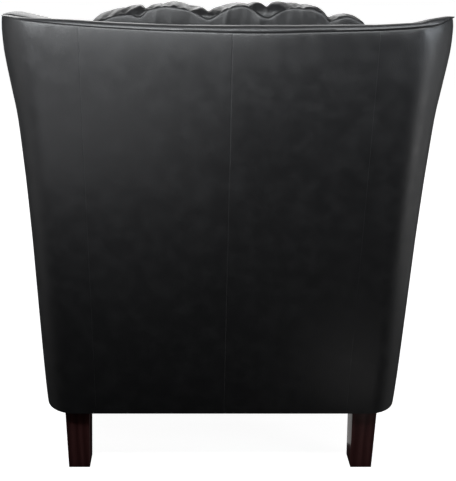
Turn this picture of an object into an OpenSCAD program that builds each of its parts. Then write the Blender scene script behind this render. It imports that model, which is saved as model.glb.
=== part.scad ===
// Upholstered accent chair with a flared shell back, sloping wings and
// a buttoned inside back that rises above the rim in soft scallops.
// Millimetres, +Z up, front towards -Y. The origin is on the floor under the
// middle of the chair. Left and right are those of a person sitting in it.

/* [Overall] */
// Width across the rear corners at the top rim
top_w = 757; // [752:1:764]
// Width of the shell at its bottom edge
base_w = 708; // [708:1:714]
// Depth from the front of the cushion to the rear of the rim
depth = 810; // [806:1:816]
// Height of the rim at the middle of the back
rim_h = 900; // [894:1:904]
// Height of the scalloped crown of the inside back
crown_h = 925; // [920:1:928]
// Height of the shell's bottom edge above the floor
body_z = 143.5; // [142:0.5:150]

/* [Shell] */
// How far the rim's outer corners rise above its middle
ear_rise = 10.5; // [8:0.5:14]
// How far the outer back leans over its whole height
back_lean = 45; // [40:1:48]
// Radius of the rear corners in plan, at the bottom
corner_r = 60; // [58:1:62]
// Distance from the centre seam to each side seam
seam_x = 248; // [240:1:252]
// Thickness of the leather
hide_t = 1.6; // [1.2:0.1:1.6]
// Thickness of the padded lining board
board_t = 8; // [6:0.5:8]

/* [Arms and wings] */
// Height of the arm at the front
arm_h = 606; // [602:1:612]
// Clear width between the arms at seat level
seat_w = 528; // [526:1:530]
// Radius of the arm's inner top edge
arm_r = 34; // [28:1:36]

/* [Seat] */
// Height of the deck under the cushion
deck_z = 326.4; // [326:0.1:326.6]
// Thickness of the loose cushion at its edge
cushion_t = 130; // [120:1:134]
// Number of zigzag springs
spring_n = 5; // [3:1:5]
// Diameter of the spring wire
wire_d = 3.8; // [3.2:0.2:4]

/* [Inside back] */
// Distance between buttons in a row
tuft_pitch = 102; // [100:1:104]
// Distance between the rows of buttons
tuft_rise = 82; // [80:1:84]
// Height of the top row of buttons
tuft_top = 798; // [794:1:798]
// Radius of a covered button
button_r = 11; // [10:0.5:12]
// Depth of the buttons below the face of the padding
tuft_depth = 17; // [14:1:28]

/* [Legs] */
// Distance from the middle to the outer face of a leg
leg_x = 314; // [312:1:316]
// Side of a leg at the top
leg_top = 50; // [48:0.5:51]
// Side of a leg at the foot
leg_foot = 44; // [38:0.5:46]
// Radius of a leg bolt
bolt_r = 4; // [3:0.5:4]
// Thickness of a glide under a leg
glide_t = 2; // [1.5:0.5:3]

/* [Hidden] */

hide_c = "#2b2b2d";
foam_c = "#e8ddb8";
wood_c = "#c9a878";
leg_c = "#2e1511";
steel_c = "#9a9da1";
felt_c = "#8d8a84";

// ---- outline of the shell ----
half_d = depth / 2;
top_z = rim_h + ear_rise;
flare_t = [[140, 0], [500, 0], [559, 0.03], [618, 0.075], [675, 0.16], [730, 0.265], [756, 0.36], [783, 0.53], [809, 0.69], [834, 0.84], [858, 0.95], [890, 1]];
function flare(z) = lookup(z, flare_t);
// Half width, rear face and corner radius of the shell at height z.
function W(z) = base_w / 2 + (top_w - base_w) / 2 * flare(z);
function R(z) = half_d - back_lean * (rim_h - 5 - z) / (rim_h - 5 - body_z);
function RC(z) = corner_r + 25 * flare(z);
// Inner face of the arms and wings at height z.
xi_t = [[150, 0], [300, 0], [470, 0.8], [600, 5], [700, 14], [800, 26], [880, 34], [910, 36]];
function XI(z) = seat_w / 2 + lookup(z, xi_t);
// Height of the rim: a dished line across the back, then down the wings to the arms.
wing_list = [[-385, 0], [-290, 0.015], [-210, 0.061], [-150, 0.137], [-100, 0.264], [-60, 0.406], [-20, 0.568], [20, 0.71], [60, 0.812], [110, 0.893], [170, 0.944], [240, 0.977], [320, 1]];
function wing_z(y) = arm_h + (top_z - arm_h) * lookup(y, wing_list);
function rim_z(x) = rim_h + ear_rise * pow(min(1, abs(x) / (top_w / 2 - 38)), 1.8);
// A station is [0, x] on the back, [1, angle] on a rear corner or [2, y] on a side.
function top_of(s) = s[0] == 0 ? rim_z(s[1])
  : s[0] == 1 ? rim_z(top_w / 2 - (corner_r + 25) * (1 - sin(s[1])))
  : wing_z(s[1]);
function on_wall(s, z, o) = s[0] == 0 ? [s[1], R(z) - o, z]
  : s[0] == 1 ? [W(z) - RC(z) + (RC(z) - o) * sin(s[1]), R(z) - RC(z) + (RC(z) - o) * cos(s[1]), z]
  : [W(z) - o, s[1], z];
// Radius of the outer top edge: soft on the back and the arms, crisp on the wings, and how far the top falls inwards.
function edge_r(s) = s[0] == 0 ? 9 : s[0] == 1 ? 9 - 5 * sin(s[1]) : 12 - 8 * min(1, lookup(s[1], wing_list) / 0.4);
function fall(s, o) = max(0, o - 12) * (s[0] == 2 ? 0.2 * min(1, lookup(s[1], wing_list) / 0.8) : 0.17);
corner_s = [for (a = [0:15:90]) [1, a]];
side_s = [for (p = [len(wing_list) - 2:-1:0]) [2, wing_list[p][0]]];
side_front = -385;

// ---- builders of closed solids ----
function flat(l) = [for (a = l) for (b = a) b];
// Solid between two grids of points with the same rows and columns.
module between(A, B) {
  n = len(A);
  m = len(A[0]);
  k = n * m;
  faces = concat(
    [for (i = [0:n - 2], j = [0:m - 2]) [i * m + j, (i + 1) * m + j, (i + 1) * m + j + 1]],
    [for (i = [0:n - 2], j = [0:m - 2]) [i * m + j, (i + 1) * m + j + 1, i * m + j + 1]],
    [for (i = [0:n - 2], j = [0:m - 2]) [k + i * m + j, k + (i + 1) * m + j + 1, k + (i + 1) * m + j]],
    [for (i = [0:n - 2], j = [0:m - 2]) [k + i * m + j, k + i * m + j + 1, k + (i + 1) * m + j + 1]],
    [for (j = [0:m - 2]) [j, j + 1, k + j + 1]], [for (j = [0:m - 2]) [j, k + j + 1, k + j]],
    [for (j = [0:m - 2]) [(n - 1) * m + j + 1, (n - 1) * m + j, k + (n - 1) * m + j]],
    [for (j = [0:m - 2]) [(n - 1) * m + j + 1, k + (n - 1) * m + j, k + (n - 1) * m + j + 1]],
    [for (i = [0:n - 2]) [(i + 1) * m, i * m, k + i * m]], [for (i = [0:n - 2]) [(i + 1) * m, k + i * m, k + (i + 1) * m]],
    [for (i = [0:n - 2]) [i * m + m - 1, (i + 1) * m + m - 1, k + (i + 1) * m + m - 1]],
    [for (i = [0:n - 2]) [i * m + m - 1, k + (i + 1) * m + m - 1, k + i * m + m - 1]]
  );
  polyhedron(concat(flat(A), flat(B)), faces, convexity = 8);
}
// Solid through closed sections with the same number of points. Its two ends are flat, or bent ones closed by a strip.
module loft(S, strip = false) {
  n = len(S);
  m = len(S[0]);
  faces = concat(
    [for (i = [0:n - 2], j = [0:m - 1]) [i * m + j, (i + 1) * m + j, (i + 1) * m + (j + 1) % m]],
    [for (i = [0:n - 2], j = [0:m - 1]) [i * m + j, (i + 1) * m + (j + 1) % m, i * m + (j + 1) % m]],
    strip ? [for (j = [0:m / 2 - 2]) each [[j, j + 1, m - 2 - j], [j, m - 2 - j, m - 1 - j]]] : [[for (j = [0:m - 1]) j]],
    strip ? [for (j = [0:m / 2 - 2], k = [(n - 1) * m]) each [[k + j + 1, k + j, k + m - 2 - j], [k + m - 2 - j, k + j, k + m - 1 - j]]] : [[for (j = [m - 1:-1:0]) (n - 1) * m + j]]
  );
  polyhedron(flat(S), faces, convexity = 8);
}
// Part of the shell wall: stations s, offsets o1 and o2 from the outside, heights as lists per station.
module wall(s, o1, o2, zs) {
  between([for (i = [0:len(s) - 1]) [for (z = zs[i]) on_wall(s[i], z, o1)]],
    [for (i = [0:len(s) - 1]) [for (z = zs[i]) on_wall(s[i], z, o2)]]);
}
levels = [0, 0.3, 0.5, 0.64, 0.76, 0.88, 1];
function heights(s, lo, drop) = [for (t = levels) lo + (top_of(s) - drop - lo) * t];
// A bar that leans with the back, between two offsets from its outer face.
module lean_bar(x0, x1, z0, z1, o1, o2) {
  loft([for (z = [z0, z1]) [[x0, R(z) - o2, z], [x1, R(z) - o2, z], [x1, R(z) - o1, z], [x0, R(z) - o1, z]]]);
}
function unit(v) = v / norm(v);
// Round cord of radius r along points p, closed or open.
module cord(p, r, sides, closed) {
  n = len(p);
  rings = [for (i = [0:n - 1])
    let (a = closed ? p[(i + n - 1) % n] : p[max(0, i - 1)], b = closed ? p[(i + 1) % n] : p[min(n - 1, i + 1)],
      t = unit(b - a), u = unit(cross(t, abs(t[1]) > 0.9 ? [0, 0, 1] : [0, 1, 0])), v = cross(t, u))
      [for (k = [0:sides - 1]) p[i] + r * (cos(k * 360 / sides) * u + sin(k * 360 / sides) * v)]];
  if (closed) {
    faces = concat(
      [for (i = [0:n - 1], j = [0:sides - 1]) [i * sides + j, ((i + 1) % n) * sides + j, ((i + 1) % n) * sides + (j + 1) % sides]],
      [for (i = [0:n - 1], j = [0:sides - 1]) [i * sides + j, ((i + 1) % n) * sides + (j + 1) % sides, i * sides + (j + 1) % sides]]
    );
    polyhedron(flat(rings), faces, convexity = 8);
  } else loft(rings);
}
module both() { children(); mirror([1, 0, 0]) children(); }

// ---- legs and their hardware ----
plate_t = 3;
leg_top_z = 157;
rail_z0 = leg_top_z + plate_t + 0.5;
rail_z1 = rail_z0 + 90;
rear_y = 345;
front_y = -365;
// Straight outer and end faces; the inner and facing sides taper.
module leg(y_end, dir) {
  color(leg_c) difference() {
    loft([for (k = [[glide_t, leg_foot], [leg_top_z, leg_top]])
      [[leg_x - k[1], y_end, k[0]], [leg_x, y_end, k[0]], [leg_x, y_end + dir * k[1], k[0]], [leg_x - k[1], y_end + dir * k[1], k[0]]]]);
    translate([leg_x - 28, y_end + dir * 31, leg_top_z - 38]) cylinder(r = bolt_r + 0.05, h = 40, $fn = 32);
  }
}
module leg_rear() mirror([0, 1, 0]) leg(-rear_y, 1);
module leg_front() leg(front_y, 1);
module at_legs() both() { translate([leg_x - 28, front_y + 31, 0]) children(); translate([leg_x - 28, rear_y - 31, 0]) children(); }
module leg_glides() color("#4a4a4a") both() for (y = [front_y + 20, rear_y - 20]) translate([leg_x - 20, y, 0]) cylinder(r = 11, h = glide_t, $fn = 32);
module leg_plates() color(steel_c) at_legs() translate([0, 0, leg_top_z + 0.1]) difference() {
  translate([-26, -26, 0]) cube([52, 52, plate_t]);
  translate([0, 0, -1]) cylinder(r = bolt_r + 0.05, h = plate_t + 2, $fn = 32);
}
module leg_bolts() color(steel_c) at_legs() translate([0, 0, leg_top_z - 37]) cylinder(r = bolt_r, h = 60, $fn = 32);

// ---- wooden frame ----
side_x0 = W(200) - 34;
module side_seat_rail() color(wood_c) translate([side_x0, -372, rail_z0]) cube([19.5, 672, rail_z1 - rail_z0]);
module front_seat_rail() color(wood_c) translate([-side_x0 + 0.4, -372, rail_z0]) cube([2 * side_x0 - 0.8, 24, rail_z1 - rail_z0]);
module back_seat_rail() color(wood_c) translate([-299.5, 322, rail_z0]) cube([599, 24, rail_z1 - rail_z0]);
module corner_blocks() color(wood_c) both() difference() {
  union() {
    translate([0, 0, rail_z0 + 0.2]) linear_extrude(62) polygon([[side_x0 - 0.5, -347.5], [side_x0 - 0.5, -276], [side_x0 - 12, -270], [250, -336], [254, -347.5]]);
    translate([0, 0, rail_z0 + 0.2]) linear_extrude(62) polygon([[side_x0 - 0.5, 293], [side_x0 - 0.5, 250], [side_x0 - 12, 244], [250, 308], [254, 320.5], [301, 320.5], [312, 313]]);
  }
  for (y = [front_y + 31, rear_y - 31]) translate([leg_x - 28, y, rail_z0 - 1]) cylinder(r = bolt_r + 1, h = 32, $fn = 32);
}
post_z1 = rim_h - 41;
module back_post() color(wood_c) lean_bar(262, 299.5, rail_z1 + 0.5, post_z1, 14, 46);
module back_top_rail() color(wood_c) lean_bar(-261.5, 261.5, post_z1 - 66, post_z1, 14, 46);
module back_lower_rail() color(wood_c) lean_bar(-261.5, 261.5, 420, 480, 20, 46);
module rear_corner_plies() color(wood_c) both() {
  s = [for (a = [14:14:84]) [1, a]];
  wall(s, 14, 32, [for (k = s) heights(k, rail_z0, 41)]);
}
module wing_board() color(wood_c) {
  s = concat([[2, 312]], [for (k = side_s) if (k[1] > -370) k], [[2, -366]]);
  wall(s, 14, 34, [for (k = s) [top_of(k) - 112, top_of(k) - 76, top_of(k) - 41]]);
}
module arm_post() color(wood_c) {
  s = [[2, -320], [2, -366]];
  wall(s, 14, 34, [for (k = s) [rail_z1 + 0.5, 360, 480, top_of(k) - 113]]);
}
module arm_tack_rails() color(wood_c) both() {
  s = [[2, 300], [2, -319]];
  wall(s, 14, 34, [for (k = s) [300, 345]]);
}
module arm_front_blocks() color(wood_c) both() translate([264.5, -384.6, body_z + 4]) cube([W(200) - 12 - 264.5, 12, 110.5]);
module frame_screws() color(steel_c) both() {
  for (y = [-318, 272]) translate([side_x0 - 22, y, rail_z0 + 44]) rotate([0, 90, 0]) cylinder(r = 2.2, h = 38, $fn = 24);
  translate([276, -330, rail_z0 + 44]) rotate([90, 0, 0]) cylinder(r = 2.2, h = 38, $fn = 24);
  translate([276, 303, rail_z0 + 44]) rotate([-90, 0, 0]) cylinder(r = 2.2, h = 38, $fn = 24);
  for (y = [front_y + 31, rear_y - 31], dx = [-18, 18], dy = [-18, 18])
    translate([leg_x - 28 + dx, y + dy, leg_top_z + 0.2]) cylinder(r = 1.8, h = 20, $fn = 24);
  for (z = [post_z1 - 50, post_z1 - 16, 435, 465]) translate([298, R(z) - 32, z]) rotate([0, -90, 0]) cylinder(r = 2.2, h = 62, $fn = 24);
}

// ---- seat suspension and deck ----
spring_x = [for (i = [0:spring_n - 1]) (i - (spring_n - 1) / 2) * 380 / (spring_n - 1)];
bar_n = 19;
spring_y0 = -352;
spring_dy = 688 / bar_n;
function arch(y) = rail_z1 + 5.5 + 41 * (1 - pow((y - 2) / 354, 2));
function spring_path(x0) = concat([[x0, spring_y0 - 4, arch(spring_y0 - 4)]],
  [for (k = [0:bar_n - 1]) each let (y = spring_y0 + 4 + k * spring_dy, s = k % 2 == 0 ? 1 : -1, a = 22, c = 7)
    [[x0 - s * (a - c), y, arch(y)], [x0 + s * (a - c), y, arch(y)], [x0 + s * a, y + c, arch(y + c)], [x0 + s * a, y + spring_dy - c, arch(y + spring_dy - c)]]]);
module seat_springs() color(steel_c) for (x = spring_x) cord(spring_path(x), wire_d / 2, 6, false);
module spring_clips() color(steel_c) for (x = spring_x, y = [-360, 334]) translate([x - 20, y - 8, rail_z1 + 0.1]) cube([40, 16, y < 0 ? 10.5 : 14]);
module deck_pad() color(foam_c) translate([-262, -334, deck_z - 25.4]) cube([524, 622, 24]);
module deck_cloth() color("#3a3a3c") translate([-262, -334, deck_z - 1]) cube([524, 622, 1]);
module across(w, p) translate([-w, 0, 0]) rotate([90, 0, 90]) linear_extrude(2 * w) polygon(p);
module front_edge_foam() color(foam_c) across(262,
  [[-372.6, body_z + 2], [-385, body_z + 2], [-385, 305], [-383, 314], [-378, 320.5], [-370, 324.6], [-336, 324.6], [-336, rail_z1 + 12], [-369.5, rail_z1 + 12], [-372.6, rail_z1 + 4]]);
module front_border_cover() color(hide_c) across(262.4,
  [[-373, body_z + 0.4], [-387, body_z + 0.4], [-387, 305.6], [-384.7, 315.4], [-379.2, 322], [-370.4, 326.6], [-336, 326.6], [-336, 325], [-370.1, 325], [-378.2, 320.9], [-383.3, 314.2], [-385.4, 305.2], [-385.4, body_z + 1.8], [-373, body_z + 1.8]]);

// ---- inside back ----
// Face of the padding at height z, and its lean.
lean_a = atan(100 / 520);
function face_y(z) = 150 + (z - 340) * 100 / 520;
module back_webbing() color("#23252b") {
  for (x = [-165, 0, 165]) lean_bar(x - 25, x + 25, 424, post_z1 - 6, 46.4, 47.8);
  for (z = [530, 630, 730]) lean_bar(-294, 294, z - 25, z + 25, 48.2, 49.6);
}
module back_felt() color(felt_c) loft([for (z = [430, 480, 600, 700, 800, rim_h - 42])
  [[-XI(z) + 2, R(z) - 64, z], [XI(z) - 2, R(z) - 64, z], [XI(z) - 2, R(z) - 50, z], [-XI(z) + 2, R(z) - 50, z]]]);
// Scallops of the crown: where neighbours meet, and the height of the meeting line.
valleys = [[-230, crown_h - 60], [-167, crown_h - 28], [-67, crown_h - 16], [30, crown_h - 20], [135, crown_h - 16], [230, crown_h - 58]];
peaks = [crown_h - 21, crown_h, crown_h, crown_h - 2, crown_h - 4];
lobe_u = [0, 0.07, 0.25, 0.5, 0.75, 0.93];
function lobe_z(i, u) = let (base = valleys[i][1] + (valleys[i + 1][1] - valleys[i][1]) * (i == 0 ? min(1, u * 1.25) : i == 4 ? max(0, (u - 0.2) * 1.25) : u),
  rise = peaks[i] - (i == 0 ? valleys[1][1] : i == 4 ? valleys[4][1] : max(valleys[i][1], valleys[i + 1][1])))
  base + rise * pow(max(0, 1 - pow(2 * u - 1, 2)), 0.6);
crown = concat([for (i = [0:4]) each [for (u = lobe_u) [valleys[i][0] + u * (valleys[i + 1][0] - valleys[i][0]), lobe_z(i, u)]]], [valleys[5]]);
// Section of the padding across the chair at x, with its top at height t, shrunk by e.
function back_section(x, t, e) = let (f = function (z) face_y(z) + e, r = function (z) R(z) - (z > 830 ? 80 : 66) - e,
  d = r(t) - f(min(t, 880)), zb = rim_h - 46, p = [[f(340), 340], [f(500), 500], [f(660), 660], [f(800), 800], [f(814), 814], [f(t - 34), t - 34], [f(t - 34) + 0.1 * d, t - 15], [f(t - 34) + 0.28 * d, t - 4 - e / 2], [f(t - 34) + 0.5 * d, t - e], [f(t - 34) + 0.74 * d, t - 3 - e], [r(t - 14), t - 16 - e], [r(min(zb, t - 18)), min(zb, t - 18) - e], [r(800), 800], [r(660), 660], [r(500), 500], [r(340), 340]])
  [for (q = p) [max(-XI(q[1]) + 1.6 + e, min(XI(q[1]) - 1.6 - e, x)), q[0], q[1]]];
back_xs = concat([[300, 855]], [for (i = [len(crown) - 1:-1:0]) crown[i]], [[-300, 855]]);
function tufts() = [for (i = [0:3]) each let (z = tuft_top - i * tuft_rise) i % 2 == 0 ? [for (x = [-1.5:1:1.5]) [x * tuft_pitch, z]] : [for (x = [-2:1:2]) [x * tuft_pitch, z]]];
module at_tufts(d) for (t = tufts()) translate([t[0], face_y(t[1]), t[1]]) rotate([90 - lean_a, 0, 0]) translate([0, 0, -d]) children();
pocket_r = button_r + 1.5;
module tuft_pockets() at_tufts(tuft_depth + 4) cylinder(r = pocket_r, h = 60, $fn = 24);
// Upright sections of foam: one behind each scallop and one at each side.
function shifted(c, d) = [c[0] + d, c[1]];
foam_groups = concat([[[300, 855], shifted(crown[30], 0.4)]],
  [for (g = [4:-1:0]) [for (i = [6:-1:0]) shifted(crown[g * 6 + i], i == 6 ? -0.2 : i == 0 ? 0.2 : 0)]],
  [[shifted(crown[0], -0.4), [-300, 855]]]);
module back_foam() color(foam_c) difference() {
  for (g = foam_groups) loft([for (c = g) back_section(c[0], c[1], hide_t + 0.4)], true);
  tuft_pockets();
}
// The cover is a flat buttoned panel below and the scalloped crown above, sewn together at crown_z.
crown_z = 818;
module inside_back_cover() color(hide_c) {
  translate([0, face_y(340), 340]) rotate([90 - lean_a, 0, 0]) translate([0, 0, -hide_t]) linear_extrude(hide_t) difference() {
    polygon([for (k = [-1, 1]) each [for (z = k < 0 ? [340, 470, 600, 700, 800, crown_z - 0.5] : [crown_z - 0.5, 800, 700, 600, 470, 340]) [k * (XI(z) - 1.6), (z - 340) / cos(lean_a)]]]);
    for (t = tufts()) translate([t[0], (t[1] - 340) / cos(lean_a)]) circle(r = pocket_r, $fn = 24);
  }
  between([for (c = back_xs) crown_path(c, 0)], [for (c = back_xs) crown_path(c, hide_t)]);
}
function crown_path(c, e) = let (s = back_section(c[0], c[1], e)) concat([[max(-XI(crown_z) + 1.6 + e, min(XI(crown_z) - 1.6 - e, c[0])), face_y(crown_z) + e, crown_z]], [for (j = [5:10]) s[j]]);
module tuft_buttons() color(hide_c) at_tufts(tuft_depth) {
  cylinder(r = button_r, h = 3, $fn = 32);
  translate([0, 0, 3]) cylinder(r1 = button_r, r2 = button_r - 4, h = 3.4, $fn = 32);
}
module button_twines() color("#d8cfb4") at_tufts(tuft_depth + 40) cylinder(r = 0.9, h = 39.9, $fn = 16);

// ---- arms and wings ----
arm_z0 = rail_z1 + 11;
// Inner and top surface of the arm at station y, at a depth o below the leather.
function arm_path(y, o, da = 18, db = 30) = let (zt = wing_z(y), st = [2, y], er = edge_r(st), xo = W(zt - er), zr = zt - arm_r, zi = zr - fall(st, xo - XI(zr)))
  concat([[XI(arm_z0) + o, arm_z0], [XI(400) + o, 400]], [for (t = [0.5, 1]) let (z = 400 + (zi - 400) * t) [XI(z) + o, z]],
    [for (a = [da:da:90]) let (x = XI(zr) + arm_r - (arm_r - o) * cos(a)) [x, zr + (arm_r - o) * sin(a) - fall(st, xo - x)]],
    [for (a = [0:db:90]) [xo - er + (er - o) * sin(a), zt - er + (er - o) * cos(a)]]);
arm_ys = concat([318], [for (k = side_s) k[1]]);
module arm_cover() color(hide_c) between([for (y = arm_ys) [for (p = arm_path(y, 0)) [p[0], y, p[1]]]], [for (y = arm_ys) [for (p = arm_path(y, hide_t)) [p[0], y, p[1]]]]);
pad_ys = [for (i = [len(arm_ys) - 1:-1:0]) arm_ys[i]];
module pad_part(ys) color(foam_c) loft([for (y = ys) let (zt = wing_z(y))
  [for (p = concat(arm_path(y, hide_t + 0.9, 30, 45), [[W(zt - 38) - hide_t - 0.6, zt - 38], [W(zt - 38) - 36, zt - 38], [W(zt - 114) - 38, zt - 114], [W(400) - 38, 400], [W(arm_z0) - 38, arm_z0]])) [p[0], y, p[1]]]]);
// Each pad is glued up from blocks that meet where the top line bends most.
module pad_blocks(cuts) for (i = [0:len(cuts) - 2])
  pad_part(concat([cuts[i] + (i == 0 ? 0 : 0.2)], [for (y = pad_ys) if (y > cuts[i] + 1 && y < cuts[i + 1] - 1) y], [cuts[i + 1] - (i == len(cuts) - 2 ? 0 : 0.2)]));
module arm_pad() pad_blocks([-385, -210, -150, -100, -60]);
module wing_pad() pad_blocks([-59.5, 60, 318]);
// The rim over the back rail and the rear corners, as offsets from the outer face.
rim_s = concat([for (x = [0, 80, 160, 225, 275]) [0, x]], corner_s);
function rim_w(s) = s[0] == 1 ? 78 + sin(s[1]) : 78;
function rim_path(s, o) = let (zt = top_of(s), w = rim_w(s), er = edge_r(s)) concat([for (a = [0:30:90]) [er - (er - o) * cos(a), zt - er + (er - o) * sin(a)]],
  [for (a = [90:-30:0]) let (q = w - 14 + (14 - o) * cos(a)) [q, zt - 14 + (14 - o) * sin(a) - fall(s, q)]], [[w - o, zt - 34]]);
function on_rim(s, q) = on_wall(s, q[1], q[0]);
rim_all = concat([for (i = [len(rim_s) - 1:-1:1]) [rim_s[i], -1]], [for (k = rim_s) [k, 1]]);
function flip(p, m) = [p[0] * m, p[1], p[2]];
module rim_cover() color(hide_c) between([for (k = rim_all) [for (q = rim_path(k[0], 0)) flip(on_rim(k[0], q), k[1])]], [for (k = rim_all) [for (q = rim_path(k[0], hide_t)) flip(on_rim(k[0], q), k[1])]]);
module rim_pad() color(foam_c) loft([for (k = [for (i = [len(rim_all) - 1:-1:0]) rim_all[i]]) let (s = k[0], zt = top_of(s))
  [for (q = concat([[hide_t + 0.9, zt - 38]], rim_path(s, hide_t + 0.9), [[rim_w(s) - hide_t - 0.9, zt - 38]])) flip(on_rim(s, q), k[1])]]);

// ---- outside covers and lining boards ----
function cover_z(s) = concat(heights(s, body_z, 40), [top_of(s) - edge_r(s) - 0.3]);
side_all = concat([[0, 275]], corner_s, side_s);
module outer_back_panel() color(hide_c) { s = [for (x = [0.15, 80, 160, seam_x]) [0, x]]; wall(s, 0, hide_t, [for (k = s) cover_z(k)]); }
module outer_side_cover() color(hide_c) { s = concat([[0, seam_x + 0.3]], side_all); wall(s, 0, hide_t, [for (k = s) cover_z(k)]); }
module outer_back_board() color("#a58a63") {
  s = [for (x = [-seam_x, -160, -80, 0, 80, 160, seam_x]) [0, x]];
  wall(s, hide_t + 0.6, hide_t + 0.6 + board_t, [for (k = s) heights(k, body_z + 4, 40.3)]);
}
module outer_side_board() color("#a58a63") {
  s = concat([[0, seam_x + 0.6]], side_all);
  wall(s, hide_t + 0.6, hide_t + 0.6 + board_t, [for (k = s) heights(k, body_z + 4, 40.3)]);
}
welt_r = 3.4;
function front_outline(o) = concat([[XI(200) + o, body_z + 2]], [for (p = arm_path(side_front, o)) p], [for (z = [480, 360, 260, body_z + 2]) [W(z) - o, z]]);
module arm_front_panel() color(hide_c) translate([0, side_front - 0.4, 0]) rotate([90, 0, 0]) linear_extrude(5.6) polygon(front_outline(2 * welt_r + 0.4));
module arm_front_welts() color(hide_c) both() cord([for (p = front_outline(welt_r)) [p[0], side_front - welt_r - 0.3, p[1]]], welt_r, 8, false);
module dust_cover() color("#1c1c1e") translate([0, 0, leg_top_z + 1.6]) difference() {
  linear_extrude(1) polygon([[-342, -370], [342, -370], [342, 300], [330, 325], [300, 344], [-300, 344], [-330, 325], [-342, 300]]);
  for (x = [-1, 1], y = [front_y + 31, rear_y - 31]) translate([x * (leg_x - 28) - 27, y - 27, -1]) cube([54, 54, 4]);
}

// ---- loose seat cushion ----
cz0 = deck_z + 1.6;
cz1 = cz0 + cushion_t;
cx = seat_w / 2 - 2.5;
cy0 = -half_d;
cy1 = 145;
// Cushion outline inset by o, with round corners of radius r at the outside.
function ring(o, r) = [for (c = [[1, 1, 0], [-1, 1, 90], [-1, 0, 180], [1, 0, 270]], a = [0:15:90])
  let (q = r - o) [c[0] * (cx - r) + q * cos(a + c[2]), (c[1] == 1 ? cy1 - r : cy0 + r) + q * sin(a + c[2])]];
rr = 24;
module slab(o, z0, z1) translate([0, 0, z0]) linear_extrude(z1 - z0) polygon(ring(o, rr));
module cushion_core() color(foam_c) slab(7.4, cz0 + 2, cz1 - 2);
module cushion_panels() color(hide_c) { slab(7.2, cz1 - 1.8, cz1); slab(7.2, cz0, cz0 + 1.8); }
module cushion_boxing() color(hide_c) difference() { slab(2, cz0 + 7, cz1 - 7); slab(3.6, cz0, cz1); }
module cushion_welts() color(hide_c) for (z = [cz0 + welt_r, cz1 - welt_r]) cord([for (p = ring(welt_r, rr)) [p[0], p[1], z]], welt_r, 8, true);
module cushion_zip() color("#1b1b1d") translate([-200, cy1 - 1.9, cz0 + 55]) cube([400, 1.5, 22]);

leg_front();  // leg_front_left
mirror([1, 0, 0]) leg_front();  // leg_front_right
leg_rear();  // leg_rear_left
mirror([1, 0, 0]) leg_rear();  // leg_rear_right
leg_glides();
leg_plates();
leg_bolts();
side_seat_rail();  // side_seat_rail_left
mirror([1, 0, 0]) side_seat_rail();  // side_seat_rail_right
front_seat_rail();
back_seat_rail();
corner_blocks();
back_post();  // back_post_left
mirror([1, 0, 0]) back_post();  // back_post_right
back_top_rail();
back_lower_rail();
rear_corner_plies();
wing_board();  // wing_board_left
mirror([1, 0, 0]) wing_board();  // wing_board_right
both() arm_post();  // arm_posts
arm_tack_rails();
arm_front_blocks();
frame_screws();
seat_springs();
spring_clips();
deck_pad();
deck_cloth();
front_edge_foam();
front_border_cover();
back_webbing();
back_felt();
back_foam();
inside_back_cover();
tuft_buttons();
button_twines();
arm_pad();  // arm_pad_left
mirror([1, 0, 0]) arm_pad();  // arm_pad_right
wing_pad();  // wing_pad_left
mirror([1, 0, 0]) wing_pad();  // wing_pad_right
arm_cover();  // arm_cover_left
mirror([1, 0, 0]) arm_cover();  // arm_cover_right
rim_pad();
rim_cover();
outer_back_panel();  // outer_back_panel_left
mirror([1, 0, 0]) outer_back_panel();  // outer_back_panel_right
outer_side_cover();  // outer_side_cover_left
mirror([1, 0, 0]) outer_side_cover();  // outer_side_cover_right
outer_back_board();
outer_side_board();  // outer_side_board_left
mirror([1, 0, 0]) outer_side_board();  // outer_side_board_right
arm_front_panel();  // arm_front_panel_left
mirror([1, 0, 0]) arm_front_panel();  // arm_front_panel_right
arm_front_welts();
dust_cover();
cushion_core();
cushion_panels();
cushion_boxing();
cushion_welts();
cushion_zip();
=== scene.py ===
import math

import bmesh
import bpy
import numpy as np
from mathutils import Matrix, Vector


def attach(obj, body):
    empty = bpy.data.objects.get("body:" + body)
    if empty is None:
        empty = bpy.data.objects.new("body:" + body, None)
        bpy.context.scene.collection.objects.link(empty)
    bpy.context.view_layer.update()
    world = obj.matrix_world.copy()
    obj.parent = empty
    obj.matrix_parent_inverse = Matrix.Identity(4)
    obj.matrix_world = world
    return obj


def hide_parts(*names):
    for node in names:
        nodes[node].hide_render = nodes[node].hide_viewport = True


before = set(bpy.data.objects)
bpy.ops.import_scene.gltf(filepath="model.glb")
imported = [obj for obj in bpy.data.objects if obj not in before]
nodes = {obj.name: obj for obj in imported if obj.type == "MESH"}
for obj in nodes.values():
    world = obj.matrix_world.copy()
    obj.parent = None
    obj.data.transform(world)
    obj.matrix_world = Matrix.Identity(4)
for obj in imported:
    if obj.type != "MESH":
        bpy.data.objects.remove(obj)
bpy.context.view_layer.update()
scene = bpy.context.scene

# ------------------------------------------------------------------ sizes, in millimetres
BASE_W, TOP_W = 708.0, 757.0
HALF_D, LEAN, BODY_Z = 405.0, 45.0, 143.5
RIM_H, EAR = 900.0, 10.5
TOP_Z = RIM_H + EAR
CORNER_R = 60.0
SEAM_X = 248.0
SEAT_W = 528.0
ARM_H, ARM_R = 606.0, 34.0
SIDE_FRONT = -385.0
DECK_Z = 326.4
CUSHION_T = 130.0
TUFT_PITCH, TUFT_RISE, TUFT_TOP = 102.0, 82.0, 798.0
BUTTON_R = 11.0
LEG_TOP_Z = 157.0


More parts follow.
